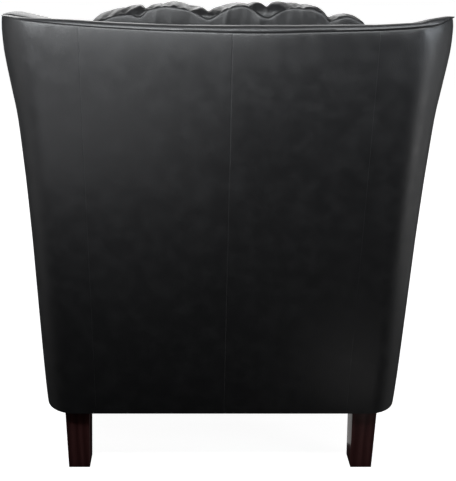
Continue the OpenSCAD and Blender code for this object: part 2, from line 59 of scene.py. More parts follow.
def curve(points):
    """Smooth monotone curve through points, constant beyond its ends."""
    p = np.array(sorted(points), float)
    x, y = p[:, 0], p[:, 1]
    h = np.diff(x)
    d = np.diff(y) / h
    m = np.zeros(len(x))
    for i in range(1, len(x) - 1):
        if d[i - 1] * d[i] > 0:
            w1, w2 = 2 * h[i] + h[i - 1], h[i] + 2 * h[i - 1]
            m[i] = (w1 + w2) / (w1 / d[i - 1] + w2 / d[i])
    m[0], m[-1] = d[0], d[-1]

    def f(q):
        q = np.clip(np.asarray(q, float), x[0], x[-1])
        i = np.clip(np.searchsorted(x, q) - 1, 0, len(h) - 1)
        t = (q - x[i]) / h[i]
        a, b = y[i], y[i + 1]
        return (
            a * (1 + 2 * t) * (1 - t) ** 2
            + m[i] * h[i] * t * (1 - t) ** 2
            + b * t * t * (3 - 2 * t)
            + m[i + 1] * h[i] * t * t * (t - 1)
        )

    return f


def smooth01(t):
    t = np.clip(t, 0, 1)
    return t * t * (3 - 2 * t)


flare = curve([(140, 0), (500, 0), (559, 0.03), (618, 0.075), (675, 0.16), (730, 0.265), (756, 0.36), (783, 0.53), (809, 0.69), (834, 0.84), (858, 0.95), (890, 1)])
inner = curve([(150, 0), (300, 0), (470, 0.8), (600, 5), (700, 14), (800, 26), (880, 34), (910, 36)])
wing = curve([(-385, 0), (-290, 0.015), (-210, 0.061), (-150, 0.137), (-100, 0.264), (-60, 0.406), (-20, 0.568), (20, 0.71), (60, 0.812), (110, 0.893), (170, 0.944), (240, 0.977), (320, 1)])


def W(z):
    return BASE_W / 2 + (TOP_W - BASE_W) / 2 * flare(z)


def R(z):
    return HALF_D - LEAN * (RIM_H - 5 - np.asarray(z, float)) / (RIM_H - 5 - BODY_Z)


def RC(z):
    return CORNER_R + 25 * flare(z)


def XI(z):
    return SEAT_W / 2 + inner(z)


def wing_z(y):
    return ARM_H + (TOP_Z - ARM_H) * wing(y)


# The rim isn't quite even: crest and seam heights over the back, on the sitter's left (+X) and right
CREST_SIDE = {1: curve([(0, 901.6), (60, 902), (120, 903.6), (191, 906.8), (227, 908.9), (253, 910.6), (278, 911.8), (304, 912.6), (330, 913), (345, 913.4), (358, 913.8), (368, 912.8), (378.5, 910.5)]),
              -1: curve([(0, 901.6), (60, 901.6), (142, 901.9), (200, 902.2), (238, 902.7), (268, 904.1), (285, 905), (302, 905.5), (312, 907.2), (323, 909.3), (337, 910.8), (349, 911.6), (360, 912.4), (368, 911.4), (374, 909.2), (378.5, 906.5)])}
SEAM_SIDE = {1: curve([(0, 891.7), (48, 893), (120, 895), (191, 898.6), (222, 900.5), (250, 902.6), (270, 904.3), (302, 907.6), (321, 909.2), (336, 910.6), (345, 911.8), (358, 913.1), (368, 912.3), (378.5, 909.9)]),
             -1: curve([(0, 891.7), (47, 891.2), (142, 893.0), (214.7, 894.6), (246, 895.9), (279, 897.8), (302, 899.7), (323, 901.2), (337, 902.9), (343, 904.7), (349, 906.6), (355, 909), (361, 910.6), (368, 910.6), (374, 908.6), (378.5, 905.8)])}
WING_SHIFT = {1: curve([(-400, 0), (-20, 0), (60, 3), (110, 6), (170, 3), (240, 2.5), (300, 2), (321, 0)]),
              -1: curve([(-400, 0), (-20, 0), (60, -1.5), (110, -8), (170, -13.5), (240, -11), (300, -6.5), (321, -4)])}


def face_y(z):
    return 150 + (np.asarray(z, float) - 340) * 100 / 520


LEAN_A = math.atan(100 / 520)
S1, S2 = 294.0, 408.0
S3 = S2 + 700.0


def wall(s, z, off):
    """Point of the shell wall: s runs from the middle of the back round the corner to the arm's front."""
    s, z, off = np.broadcast_arrays(np.asarray(s, float), np.asarray(z, float), np.asarray(off, float))
    w, r, c = W(z), R(z), RC(z)
    a = np.radians(np.clip((s - S1) / (S2 - S1), 0, 1) * 90)
    x = np.where(s <= S1, s / S1 * (w - c), w - c + (c - off) * np.sin(a))
    y = np.where(s <= S1, r - off, r - c + (c - off) * np.cos(a))
    y0 = r - c
    t = (s - S2) / (S3 - S2)
    x = np.where(s > S2, w - off, x)
    y = np.where(s > S2, y0 + (SIDE_FRONT - y0) * t, y)
    return np.stack([x, y, z], -1)


def side_y(s, z=TOP_Z):
    y0 = R(z) - RC(z)
    return y0 + (SIDE_FRONT - y0) * (np.asarray(s, float) - S2) / (S3 - S2)


def along_x(s):
    """Distance from the middle, measured so that the corner ends at the full half width."""
    s = np.asarray(s, float)
    a = np.radians(np.clip((s - S1) / (S2 - S1), 0, 1) * 90)
    return np.where(s <= S1, np.minimum(s, S1), TOP_W / 2 - 85 * (1 - np.sin(a)))


def wing_top(y, side=1):
    """Top line of a wing. The right one has settled a little."""
    return wing_z(y) + WING_SHIFT[side](y)


def crest(s, side=1):
    s = np.asarray(s, float)
    return np.where(s <= S2, CREST_SIDE[side](along_x(s)), wing_top(side_y(s), side))


def edge_radius(y):
    """Outer top edge of the arms and wings: crisp on the wings, softer on the arms."""
    return (12 - 8 * np.minimum(1, wing(y) / 0.4)) * (1 - 0.5 * smooth01((np.asarray(y, float) - 250) / 70.0))


def drop(s, side=1):
    """How far the seam under the rim lies below the crest."""
    s = np.asarray(s, float)
    back = CREST_SIDE[side](along_x(s)) - SEAM_SIDE[side](along_x(s))
    last = float(CREST_SIDE[side](378.5) - SEAM_SIDE[side](378.5))
    t = smooth01((s - S2) / 70.0)
    return np.where(s <= S2, back, last * (1 - t) + edge_radius(side_y(s)) * t)


# ------------------------------------------------------------------ repeatable noise
def vnoise(x, y, seed=0):
    x, y = np.broadcast_arrays(np.asarray(x, float), np.asarray(y, float))
    xi, yi = np.floor(x).astype(np.int64), np.floor(y).astype(np.int64)
    fx, fy = x - xi, y - yi

    def h(a, b):
        n = (a * 374761393 + b * 668265263 + seed * 1442695041) & 0xFFFFFFFF
        n = ((n ^ (n >> 13)) * 1274126177) & 0xFFFFFFFF
        return ((n ^ (n >> 16)) & 0xFFFF) / 32767.5 - 1

    ux, uy = fx * fx * (3 - 2 * fx), fy * fy * (3 - 2 * fy)
    return (h(xi, yi) * (1 - ux) + h(xi + 1, yi) * ux) * (1 - uy) + (h(xi, yi + 1) * (1 - ux) + h(xi + 1, yi + 1) * ux) * uy


def fbm(x, y, seed=0, octaves=3):
    out, amp = 0, 1.0
    for k in range(octaves):
        out = out + amp * vnoise(x * 2**k + 17.3 * k, y * 2**k - 9.1 * k, seed + k)
        amp *= 0.5
    return out




# ------------------------------------------------------------------ mesh builders
def add(obj):
    scene.collection.objects.link(obj)
    return obj


def make(name, verts, faces, smooth=True, angle=None):
    mesh = bpy.data.meshes.new(name)
    mesh.from_pydata([tuple(v) for v in np.asarray(verts, float) / 1000.0], [], faces)
    mesh.validate()
    mesh.update()
    obj = add(bpy.data.objects.new(name, mesh))
    if smooth:
        mesh.polygons.foreach_set("use_smooth", [True] * len(mesh.polygons))
        if angle is not None:
            mesh.set_sharp_from_angle(angle=math.radians(angle))
    return obj


def fix_normals(obj):
    bm = bmesh.new()
    bm.from_mesh(obj.data)
    bmesh.ops.recalc_face_normals(bm, faces=bm.faces)
    bm.to_mesh(obj.data)
    bm.free()
    return obj


def shell(name, A, B, mirror=False, angle=50):
    """Closed solid between two grids of points."""
    A, B = np.array(A, float), np.array(B, float)
    if mirror:
        A[..., 0] *= -1
        B[..., 0] *= -1
    n, m = A.shape[:2]
    k = n * m
    idx = np.arange(k).reshape(n, m)
    q = lambda a, b, c, d: np.stack([a.ravel(), b.ravel(), c.ravel(), d.ravel()], -1)
    front = q(idx[:-1, :-1], idx[1:, :-1], idx[1:, 1:], idx[:-1, 1:])
    back = q(idx[:-1, :-1], idx[:-1, 1:], idx[1:, 1:], idx[1:, :-1]) + k
    e = [
        np.stack([idx[0, :-1], idx[0, 1:], idx[0, 1:] + k, idx[0, :-1] + k], -1),
        np.stack([idx[-1, 1:], idx[-1, :-1], idx[-1, :-1] + k, idx[-1, 1:] + k], -1),
        np.stack([idx[1:, 0], idx[:-1, 0], idx[:-1, 0] + k, idx[1:, 0] + k], -1),
        np.stack([idx[:-1, -1], idx[1:, -1], idx[1:, -1] + k, idx[:-1, -1] + k], -1),
    ]
    faces = np.concatenate([front, back] + e)
    obj = make(name, np.concatenate([A.reshape(-1, 3), B.reshape(-1, 3)]), faces.tolist(), angle=angle)
    return fix_normals(obj)


def spread(a, b, step, ends=(0.35, 0.8, 1.5, 2.6, 4.4)):
    """Values from a to b about step apart, closer together at both ends."""
    n = max(2, int(round((b - a - 2 * ends[-1]) / step)) + 1)
    mid = np.linspace(a + ends[-1], b - ends[-1], n)
    return np.concatenate([[a], a + np.array(ends[:-1]), mid, b - np.array(ends[:-1])[::-1], [b]])


def frames(P, closed):
    """Tangent, normal and binormal along the points P, turned as little as possible."""
    P = np.array(P, float)
    T = np.roll(P, -1, 0) - np.roll(P, 1, 0) if closed else np.gradient(P, axis=0)
    T /= np.linalg.norm(T, axis=1)[:, None]
    N = np.zeros_like(P)
    ref = np.array([0, 0, 1.0]) if abs(T[0, 2]) < 0.8 else np.array([0, 1.0, 0])
    v = ref - T[0] * (ref @ T[0])
    N[0] = v / np.linalg.norm(v)
    for i in range(1, len(P)):
        v = N[i - 1] - T[i] * (N[i - 1] @ T[i])
        N[i] = v / np.linalg.norm(v)
    return T, N, np.cross(T, N)


def tube(name, P, radius, sides=12, closed=False, wobble=0.0, seed=0):
    P = np.array(P, float)
    n = len(P)
    T, N, B = frames(P, closed)
    a = np.linspace(0, 2 * np.pi, sides, endpoint=False)
    length = np.concatenate([[0], np.cumsum(np.linalg.norm(np.diff(P, axis=0), axis=1))])
    r = radius * (1 + wobble * vnoise(length / 9.0, 0 * length, seed))
    V = P[:, None] + r[:, None, None] * (np.cos(a)[None, :, None] * N[:, None] + np.sin(a)[None, :, None] * B[:, None])
    idx = np.arange(n * sides).reshape(n, sides)
    faces = []
    for i in range(n if closed else n - 1):
        j = (i + 1) % n
        for c in range(sides):
            d = (c + 1) % sides
            faces.append([int(idx[i, c]), int(idx[i, d]), int(idx[j, d]), int(idx[j, c])])
    verts = V.reshape(-1, 3)
    if not closed:
        faces.append([int(v) for v in idx[0]])
        faces.append([int(v) for v in idx[-1][::-1]])
    return fix_normals(make(name, verts, faces, angle=60))


def resample(P, step, closed=False):
    P = np.array(P, float)
    if closed:
        P = np.concatenate([P, P[:1]])
    d = np.concatenate([[0], np.cumsum(np.linalg.norm(np.diff(P, axis=0), axis=1))])
    n = max(3, int(round(d[-1] / step)))
    t = np.linspace(0, d[-1], n + 1)
    out = np.stack([np.interp(t, d, P[:, k]) for k in range(3)], -1)
    return out[:-1] if closed else out


def cloth_relax(obj, pins, pressure, frames_n=18, slack=0.0, cap=14.0, stiffness=12.0, bending=0.6, mass=0.35):
    """Inflates obj as cloth held at pins, then keeps each point within cap mm of where it started."""
    start = np.zeros(len(obj.data.vertices) * 3, np.float32)
    obj.data.vertices.foreach_get("co", start)
    start = start.reshape(-1, 3)
    group = obj.vertex_groups.new(name="hold")
    for w in (1.0, 0.6, 0.3, 0.1):
        ids = [int(i) for i, p in enumerate(pins) if abs(p - w) < 1e-6]
        if ids:
            group.add(ids, w, "REPLACE")
    mod = obj.modifiers.new("relax", "CLOTH")
    st = mod.settings
    st.quality = 5
    st.mass = mass
    st.tension_stiffness = stiffness
    st.compression_stiffness = stiffness
    st.shear_stiffness = stiffness * 0.5
    st.bending_stiffness = bending
    st.tension_damping = 8
    st.compression_damping = 8
    st.shear_damping = 8
    st.air_damping = 3
    st.use_pressure = True
    st.uniform_pressure_force = pressure
    st.shrink_min = -slack
    st.vertex_group_mass = "hold"
    st.pin_stiffness = 1.0
    st.effector_weights.gravity = 0
    mod.collision_settings.use_collision = False
    mod.collision_settings.use_self_collision = False
    mod.point_cache.frame_start = 1
    mod.point_cache.frame_end = frames_n + 2
    for f in range(1, frames_n + 1):
        scene.frame_set(f)
    deps = bpy.context.evaluated_depsgraph_get()
    ev = obj.evaluated_get(deps)
    end = np.zeros(len(ev.data.vertices) * 3, np.float32)
    ev.data.vertices.foreach_get("co", end)
    end = end.reshape(-1, 3)
    obj.modifiers.remove(mod)
    obj.vertex_groups.remove(group)
    move = end - start
    size = np.linalg.norm(move, axis=1)
    limit = cap / 1000.0
    move *= (np.minimum(size, limit) / np.maximum(size, 1e-9))[:, None]
    obj.data.vertices.foreach_set("co", (start + move).ravel())
    obj.data.update()
    scene.frame_set(1)


def crease_colour(obj, scale=1.0):
    """Stores how hollow (below 0.5) or proud (above 0.5) each point is, for wear on proud points and painted shade in
    hollows.
    """
    me = obj.data
    n = len(me.vertices)
    co = np.zeros(n * 3, np.float32)
    me.vertices.foreach_get("co", co)
    co = co.reshape(-1, 3)
    no = np.zeros(n * 3, np.float32)
    me.vertices.foreach_get("normal", no)
    no = no.reshape(-1, 3)
    e = np.zeros(len(me.edges) * 2, np.int32)
    me.edges.foreach_get("vertices", e)
    e = e.reshape(-1, 2)
    d = co[e[:, 1]] - co[e[:, 0]]
    length = np.maximum(np.linalg.norm(d, axis=1), 1e-5)
    c = np.zeros(n)
    w = np.zeros(n)
    up = -(d * no[e[:, 0]]).sum(1) / length**1.0
    dn = (d * no[e[:, 1]]).sum(1) / length**1.0
    np.add.at(c, e[:, 0], up)
    np.add.at(c, e[:, 1], dn)
    np.add.at(w, e[:, 0], 1)
    np.add.at(w, e[:, 1], 1)
    c = c / np.maximum(w, 1)
    for k in range(3):
        s = np.zeros(n)
        np.add.at(s, e[:, 0], c[e[:, 1]])
        np.add.at(s, e[:, 1], c[e[:, 0]])
        c = 0.5 * c + 0.5 * s / np.maximum(w, 1)
    v = np.clip(0.5 + scale * 2.2 * c, 0, 1).astype(np.float32)
    at = me.attributes.get("relief") or me.attributes.new("relief", "FLOAT", "POINT")
    at.data.foreach_set("value", v)


# ------------------------------------------------------------------ materials
def new_material(name, colour, rough, metallic=0.0):
    m = bpy.data.materials.new(name)
    m.use_nodes = True
    m.diffuse_color = (*colour, 1)
    nt = m.node_tree
    b = nt.nodes["Principled BSDF"]
    b.inputs["Base Color"].default_value = (*colour, 1)
    b.inputs["Roughness"].default_value = rough
    b.inputs["Metallic"].default_value = metallic
    return m, nt, b


def node(nt, kind, **values):
    n = nt.nodes.new(kind)
    for k, v in values.items():
        if k in n.inputs.keys():
            n.inputs[k].default_value = v
        else:
            setattr(n, k, v)
    return n


def coords(nt, scale=(1, 1, 1)):
    tc = node(nt, "ShaderNodeTexCoord")
    mp = node(nt, "ShaderNodeMapping")
    mp.inputs["Scale"].default_value = scale
    nt.links.new(tc.outputs["Object"], mp.inputs["Vector"])
    return mp.outputs["Vector"]


def ramp(nt, source, stops):
    r = node(nt, "ShaderNodeValToRGB")
    cr = r.color_ramp
    while len(cr.elements) < len(stops):
        cr.elements.new(0.5)
    for e, (p, c) in zip(cr.elements, stops):
        e.position = p
        e.color = (*c, 1) if len(c) == 3 else c
    nt.links.new(source, r.inputs["Fac"])
    return r


def remap(nt, source, a, b, c, d):
    m = node(nt, "ShaderNodeMapRange")
    m.inputs["From Min"].default_value = a
    m.inputs["From Max"].default_value = b
    m.inputs["To Min"].default_value = c
    m.inputs["To Max"].default_value = d
    nt.links.new(source, m.inputs["Value"])
    return m.outputs["Result"]


def mix_colour(nt, fac, a, b):
    m = node(nt, "ShaderNodeMix", data_type="RGBA")
    for sock, val in (("Factor", fac), ("A", a), ("B", b)):
        s = [i for i in m.inputs if i.name == sock and (i.type == "RGBA" or sock == "Factor") and i.enabled][0]
        if isinstance(val, bpy.types.NodeSocket):
            nt.links.new(val, s)
        else:
            s.default_value = val if sock == "Factor" else (*val, 1)
    return [o for o in m.outputs if o.type == "RGBA"][0]


def add_bump(nt, b, heights):
    """Chains bumps: each height is (socket, strength, distance in metres)."""
    last = None
    for h, s, d in heights:
        bp = node(nt, "ShaderNodeBump")
        bp.inputs["Strength"].default_value = s
        bp.inputs["Distance"].default_value = d
        nt.links.new(h, bp.inputs["Height"])
        if last is not None:
            nt.links.new(last, bp.inputs["Normal"])
        last = bp.outputs["Normal"]
    nt.links.new(last, b.inputs["Normal"])


def leather(name, colour, rough=0.42, grain=1.0, wear=1.0):
    m, nt, b = new_material(name, colour, rough)
    v = coords(nt)
    big = node(nt, "ShaderNodeTexNoise", Scale=7.0, Detail=4.0, Roughness=0.55)
    nt.links.new(v, big.inputs["Vector"])
    cloud = node(nt, "ShaderNodeTexNoise", Scale=34.0, Detail=6.0, Roughness=0.6)
    nt.links.new(v, cloud.inputs["Vector"])
    at = node(nt, "ShaderNodeAttribute", attribute_name="relief")
    c = np.array(colour)
    tone = ramp(nt, big.outputs["Fac"], [(0.32, tuple(c * 0.94)), (0.68, tuple(c * 1.07))])
    fleck = mix_colour(nt, remap(nt, cloud.outputs["Fac"], 0.45, 0.75, 0.0, 0.35), tone.outputs["Color"], tuple(c * 1.55 + 0.0015))
    rubbed = mix_colour(nt, remap(nt, at.outputs["Fac"], 0.56, 0.85, 0.0, 0.5 * wear), fleck, tuple(c * 2.4 + 0.006))
    # painted shade: hollow points, creases and seams darkened towards a third of the base colour; proud points above
    # are lightened as wear
    painted_crease_shade = mix_colour(nt, remap(nt, at.outputs["Fac"], 0.46, 0.2, 0.0, 0.7), rubbed, tuple(c * 0.35))
    nt.links.new(painted_crease_shade, b.inputs["Base Color"])
    pebble = node(nt, "ShaderNodeTexVoronoi", Scale=760.0)
    warp = node(nt, "ShaderNodeTexNoise", Scale=420.0, Detail=2.0)
    nt.links.new(v, warp.inputs["Vector"])
    bend = node(nt, "ShaderNodeVectorMath", operation="MULTIPLY_ADD")
    nt.links.new(warp.outputs["Color"], bend.inputs[0])
    bend.inputs[1].default_value = (0.0012, 0.0012, 0.0012)
    nt.links.new(v, bend.inputs[2])
    nt.links.new(bend.outputs["Vector"], pebble.inputs["Vector"])
    fine = node(nt, "ShaderNodeTexNoise", Scale=1400.0, Detail=3.0)
    nt.links.new(v, fine.inputs["Vector"])
    soft = node(nt, "ShaderNodeTexNoise", Scale=16.0, Detail=5.0, Roughness=0.5)
    nt.links.new(v, soft.inputs["Vector"])
    mid = node(nt, "ShaderNodeTexNoise", Scale=240.0, Detail=2.0)
    nt.links.new(v, mid.inputs["Vector"])
    add_bump(nt, b, [
        (soft.outputs["Fac"], 0.018, 0.003),
        (mid.outputs["Fac"], 0.12 * grain, 0.0006),
        (pebble.outputs["Distance"], 0.22 * grain, 0.0005),
        (fine.outputs["Fac"], 0.14 * grain, 0.00025),
    ])
    r1 = remap(nt, cloud.outputs["Fac"], 0.3, 0.7, rough - 0.05, rough + 0.07)
    r2 = node(nt, "ShaderNodeMath", operation="ADD")
    nt.links.new(r1, r2.inputs[0])
    nt.links.new(remap(nt, at.outputs["Fac"], 0.25, 0.75, 0.07, -0.06), r2.inputs[1])
    nt.links.new(r2.outputs["Value"], b.inputs["Roughness"])
    b.inputs["Specular IOR Level"].default_value = 0.5
    b.inputs["Sheen Weight"].default_value = 0.04
    b.inputs["Sheen Roughness"].default_value = 0.4
    return m


def wood(name, dark, light, rough=0.4, axis=2, coat=0.0, stretch=14.0):
    m, nt, b = new_material(name, dark, rough)
    scale = [stretch, stretch, stretch]
    scale[axis] = 1.0
    v = coords(nt, tuple(scale))
    n1 = node(nt, "ShaderNodeTexNoise", Scale=9.0, Detail=8.0, Roughness=0.62, Distortion=0.6)
    nt.links.new(v, n1.inputs["Vector"])
    ring = node(nt, "ShaderNodeTexWave", Scale=1.3, Distortion=5.0, Detail=3.0)
    ring.inputs["Detail Scale"].default_value = 1.2
    nt.links.new(v, ring.inputs["Vector"])
    mixed = mix_colour(nt, 0.4, n1.outputs["Color"], ring.outputs["Color"])
    grey = node(nt, "ShaderNodeRGBToBW")
    nt.links.new(mixed, grey.inputs["Color"])
    r = ramp(nt, grey.outputs["Val"], [(0.3, dark), (0.5, tuple((np.array(dark) + np.array(light)) / 2)), (0.72, light)])
    pore = node(nt, "ShaderNodeTexNoise", Scale=70.0, Detail=3.0)
    nt.links.new(v, pore.inputs["Vector"])
    c = mix_colour(nt, remap(nt, pore.outputs["Fac"], 0.58, 0.7, 0.0, 0.5), r.outputs["Color"], tuple(np.array(dark) * 0.4))
    nt.links.new(c, b.inputs["Base Color"])
    nt.links.new(remap(nt, n1.outputs["Fac"], 0.3, 0.7, rough - 0.06, rough + 0.08), b.inputs["Roughness"])
    add_bump(nt, b, [(pore.outputs["Fac"], 0.25, 0.0004), (n1.outputs["Fac"], 0.12, 0.0005)])
    b.inputs["Coat Weight"].default_value = coat
    b.inputs["Coat Roughness"].default_value = 0.22
    return m


def woven(name, dark, light, pitch=0.0012, rough=0.85, sheen=0.2):
    m, nt, b = new_material(name, dark, rough)
    v = coords(nt)
    w1 = node(nt, "ShaderNodeTexWave", Scale=0.314 / pitch / 2, Distortion=0.4, Detail=1.0, bands_direction="X")
    w2 = node(nt, "ShaderNodeTexWave", Scale=0.314 / pitch / 2, Distortion=0.4, Detail=1.0, bands_direction="Y")
    w3 = node(nt, "ShaderNodeTexWave", Scale=0.314 / pitch / 2, Distortion=0.4, Detail=1.0, bands_direction="Z")
    for w in (w1, w2, w3):
        nt.links.new(v, w.inputs["Vector"])
    a = node(nt, "ShaderNodeMath", operation="MAXIMUM")
    nt.links.new(w1.outputs["Fac"], a.inputs[0])
    nt.links.new(w2.outputs["Fac"], a.inputs[1])
    c = node(nt, "ShaderNodeMath", operation="MAXIMUM")
    nt.links.new(a.outputs["Value"], c.inputs[0])
    nt.links.new(w3.outputs["Fac"], c.inputs[1])
    cloud = node(nt, "ShaderNodeTexNoise", Scale=20.0, Detail=5.0)
    nt.links.new(v, cloud.inputs["Vector"])
    r = ramp(nt, c.outputs["Value"], [(0.2, dark), (0.9, light)])
    col = mix_colour(nt, remap(nt, cloud.outputs["Fac"], 0.4, 0.7, 0.0, 0.35), r.outputs["Color"], tuple(np.array(dark) * 0.6))
    nt.links.new(col, b.inputs["Base Color"])
    add_bump(nt, b, [(c.outputs["Value"], 0.5, 0.0005), (cloud.outputs["Fac"], 0.2, 0.001)])
    b.inputs["Sheen Weight"].default_value = sheen
    return m


def foamy(name, dark, light, scale=420.0, rough=0.95):
    m, nt, b = new_material(name, light, rough)
    v = coords(nt)
    cell = node(nt, "ShaderNodeTexVoronoi", Scale=scale)
    nt.links.new(v, cell.inputs["Vector"])
    cloud = node(nt, "ShaderNodeTexNoise", Scale=9.0, Detail=5.0)
    nt.links.new(v, cloud.inputs["Vector"])
    r = ramp(nt, cell.outputs["Distance"], [(0.1, light), (0.6, dark)])
    col = mix_colour(nt, remap(nt, cloud.outputs["Fac"], 0.35, 0.7, 0.0, 0.5), r.outputs["Color"], tuple(np.array(dark) * 0.85))
    nt.links.new(col, b.inputs["Base Color"])
    add_bump(nt, b, [(cell.outputs["Distance"], 0.5, 0.0012)])
    return m


def metal(name, colour, rough=0.35):
    m, nt, b = new_material(name, colour, rough, 1.0)
    v = coords(nt, (40, 40, 4))
    n = node(nt, "ShaderNodeTexNoise", Scale=30.0, Detail=6.0, Roughness=0.7)
    nt.links.new(v, n.inputs["Vector"])
    spots = node(nt, "ShaderNodeTexNoise", Scale=3.0, Detail=4.0)
    nt.links.new(v, spots.inputs["Vector"])
    nt.links.new(remap(nt, n.outputs["Fac"], 0.3, 0.7, rough - 0.1, rough + 0.15), b.inputs["Roughness"])
    col = mix_colour(nt, remap(nt, spots.outputs["Fac"], 0.45, 0.7, 0.0, 0.4), tuple(colour), tuple(np.array(colour) * 0.6))
    nt.links.new(col, b.inputs["Base Color"])
    add_bump(nt, b, [(n.outputs["Fac"], 0.1, 0.0002)])
    return m


def moulded(name, colour, rough=0.5):
    m, nt, b = new_material(name, colour, rough)
    v = coords(nt)
    n = node(nt, "ShaderNodeTexNoise", Scale=900.0, Detail=3.0)
    nt.links.new(v, n.inputs["Vector"])
    cloud = node(nt, "ShaderNodeTexNoise", Scale=60.0, Detail=4.0)
    nt.links.new(v, cloud.inputs["Vector"])
    nt.links.new(remap(nt, cloud.outputs["Fac"], 0.3, 0.7, rough - 0.08, rough + 0.1), b.inputs["Roughness"])
    col = mix_colour(nt, remap(nt, cloud.outputs["Fac"], 0.4, 0.7, 0.0, 0.5), tuple(colour), tuple(np.array(colour) * 0.7))
    nt.links.new(col, b.inputs["Base Color"])
    add_bump(nt, b, [(n.outputs["Fac"], 0.2, 0.0003)])
    return m


HIDE = leather("hide", (0.0097, 0.0096, 0.0101), rough=0.42)
HIDE_WELT = leather("hide_welt", (0.0097, 0.0096, 0.0101), rough=0.40, wear=1.3)
LEG = wood("leg_wood", (0.038, 0.0118, 0.0116), (0.068, 0.0245, 0.0235), rough=0.34, axis=2, coat=0.5)
FRAME_X = wood("frame_wood_x", (0.42, 0.28, 0.15), (0.66, 0.49, 0.31), rough=0.7, axis=0)
FRAME_Y = wood("frame_wood_y", (0.42, 0.28, 0.15), (0.66, 0.49, 0.31), rough=0.7, axis=1)
FRAME_Z = wood("frame_wood_z", (0.42, 0.28, 0.15), (0.66, 0.49, 0.31), rough=0.7, axis=2)
BOARD = foamy("lining_board", (0.30, 0.21, 0.13), (0.46, 0.35, 0.23), scale=150.0)
FOAM = foamy("foam", (0.62, 0.55, 0.36), (0.88, 0.82, 0.64))
FELT = foamy("felt", (0.25, 0.24, 0.22), (0.45, 0.43, 0.40), scale=700.0)
WEBBING = woven("webbing", (0.012, 0.013, 0.02), (0.04, 0.042, 0.055), pitch=0.0016)
DECK = woven("deck_fabric", (0.012, 0.012, 0.014), (0.035, 0.035, 0.038), pitch=0.0011)
DUST = woven("dust_fabric", (0.008, 0.008, 0.009), (0.022, 0.022, 0.024), pitch=0.0009, rough=0.95, sheen=0.05)
TWINE = woven("twine", (0.45, 0.40, 0.28), (0.70, 0.65, 0.50), pitch=0.0006)
STEEL = metal("hardware_steel", (0.50, 0.51, 0.53), 0.35)
SPRING = metal("spring_steel", (0.20, 0.20, 0.21), 0.42)
ZIP = moulded("zip_plastic", (0.012, 0.012, 0.014), 0.5)
GLIDE = moulded("glide_plastic", (0.06, 0.06, 0.06), 0.55)


def dress(obj, material, body="chair"):
    obj.data.materials.clear()
    obj.data.materials.append(material)
    crease_colour(obj)
    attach(obj, body)
    return obj


def assign(material, *names):
    for n in names:
        o = nodes[n]
        o.data.materials.clear()
        o.data.materials.append(material)
        o.data.polygons.foreach_set("use_smooth", [True] * len(o.data.polygons))
        o.data.set_sharp_from_angle(angle=math.radians(32))


assign(STEEL, "leg_plates", "leg_bolts", "frame_screws")
assign(SPRING, "seat_springs", "spring_clips")
assign(FRAME_X, "front_seat_rail", "back_seat_rail", "back_top_rail", "back_lower_rail", "arm_front_blocks")
assign(FRAME_Y, "side_seat_rail_left", "side_seat_rail_right", "arm_tack_rails", "corner_blocks", "wing_board_left", "wing_board_right")
assign(FRAME_Z, "back_post_left", "back_post_right", "arm_posts", "rear_corner_plies")
assign(WEBBING, "back_webbing")
assign(TWINE, "button_twines")
assign(FELT, "back_felt")
assign(BOARD, "outer_back_board", "outer_side_board_left", "outer_side_board_right")
assign(GLIDE, "leg_glides")

# ------------------------------------------------------------------ outside of the shell
def pucker(along, dist, seed, amp=0.45, reach=15.0):
    """Small gathers that run away from a seam."""
    wave = vnoise(along / 7.5, dist * 0.01, seed) + 0.6 * vnoise(along / 13.0, dist * 0.02, seed + 5)
    return amp * wave * np.exp(-dist / reach)


def S_far(s0, d_right):
    """Distance to a panel's second seam; a side panel has none at the arm's front."""
    return d_right if s0 < 100 else d_right + 1e3


def lean_seam(s, z):
    """The side seams stand 6 mm closer together at the top than at the bottom."""
    t = (z - BODY_Z) / 630.0
    w = np.where(s <= SEAM_X, s / SEAM_X, np.clip((S1 - s) / (S1 - SEAM_X), 0, 1))
    return (1.2 - 6.2 * t) * w


def skew(p, side):
    """The middle seam sits 5 mm towards the sitter's right."""
    p = p.copy()
    p[..., 0] -= side * 5.3 * np.clip(1 - p[..., 0] / (SEAM_X - 8), 0, 1)
    return p


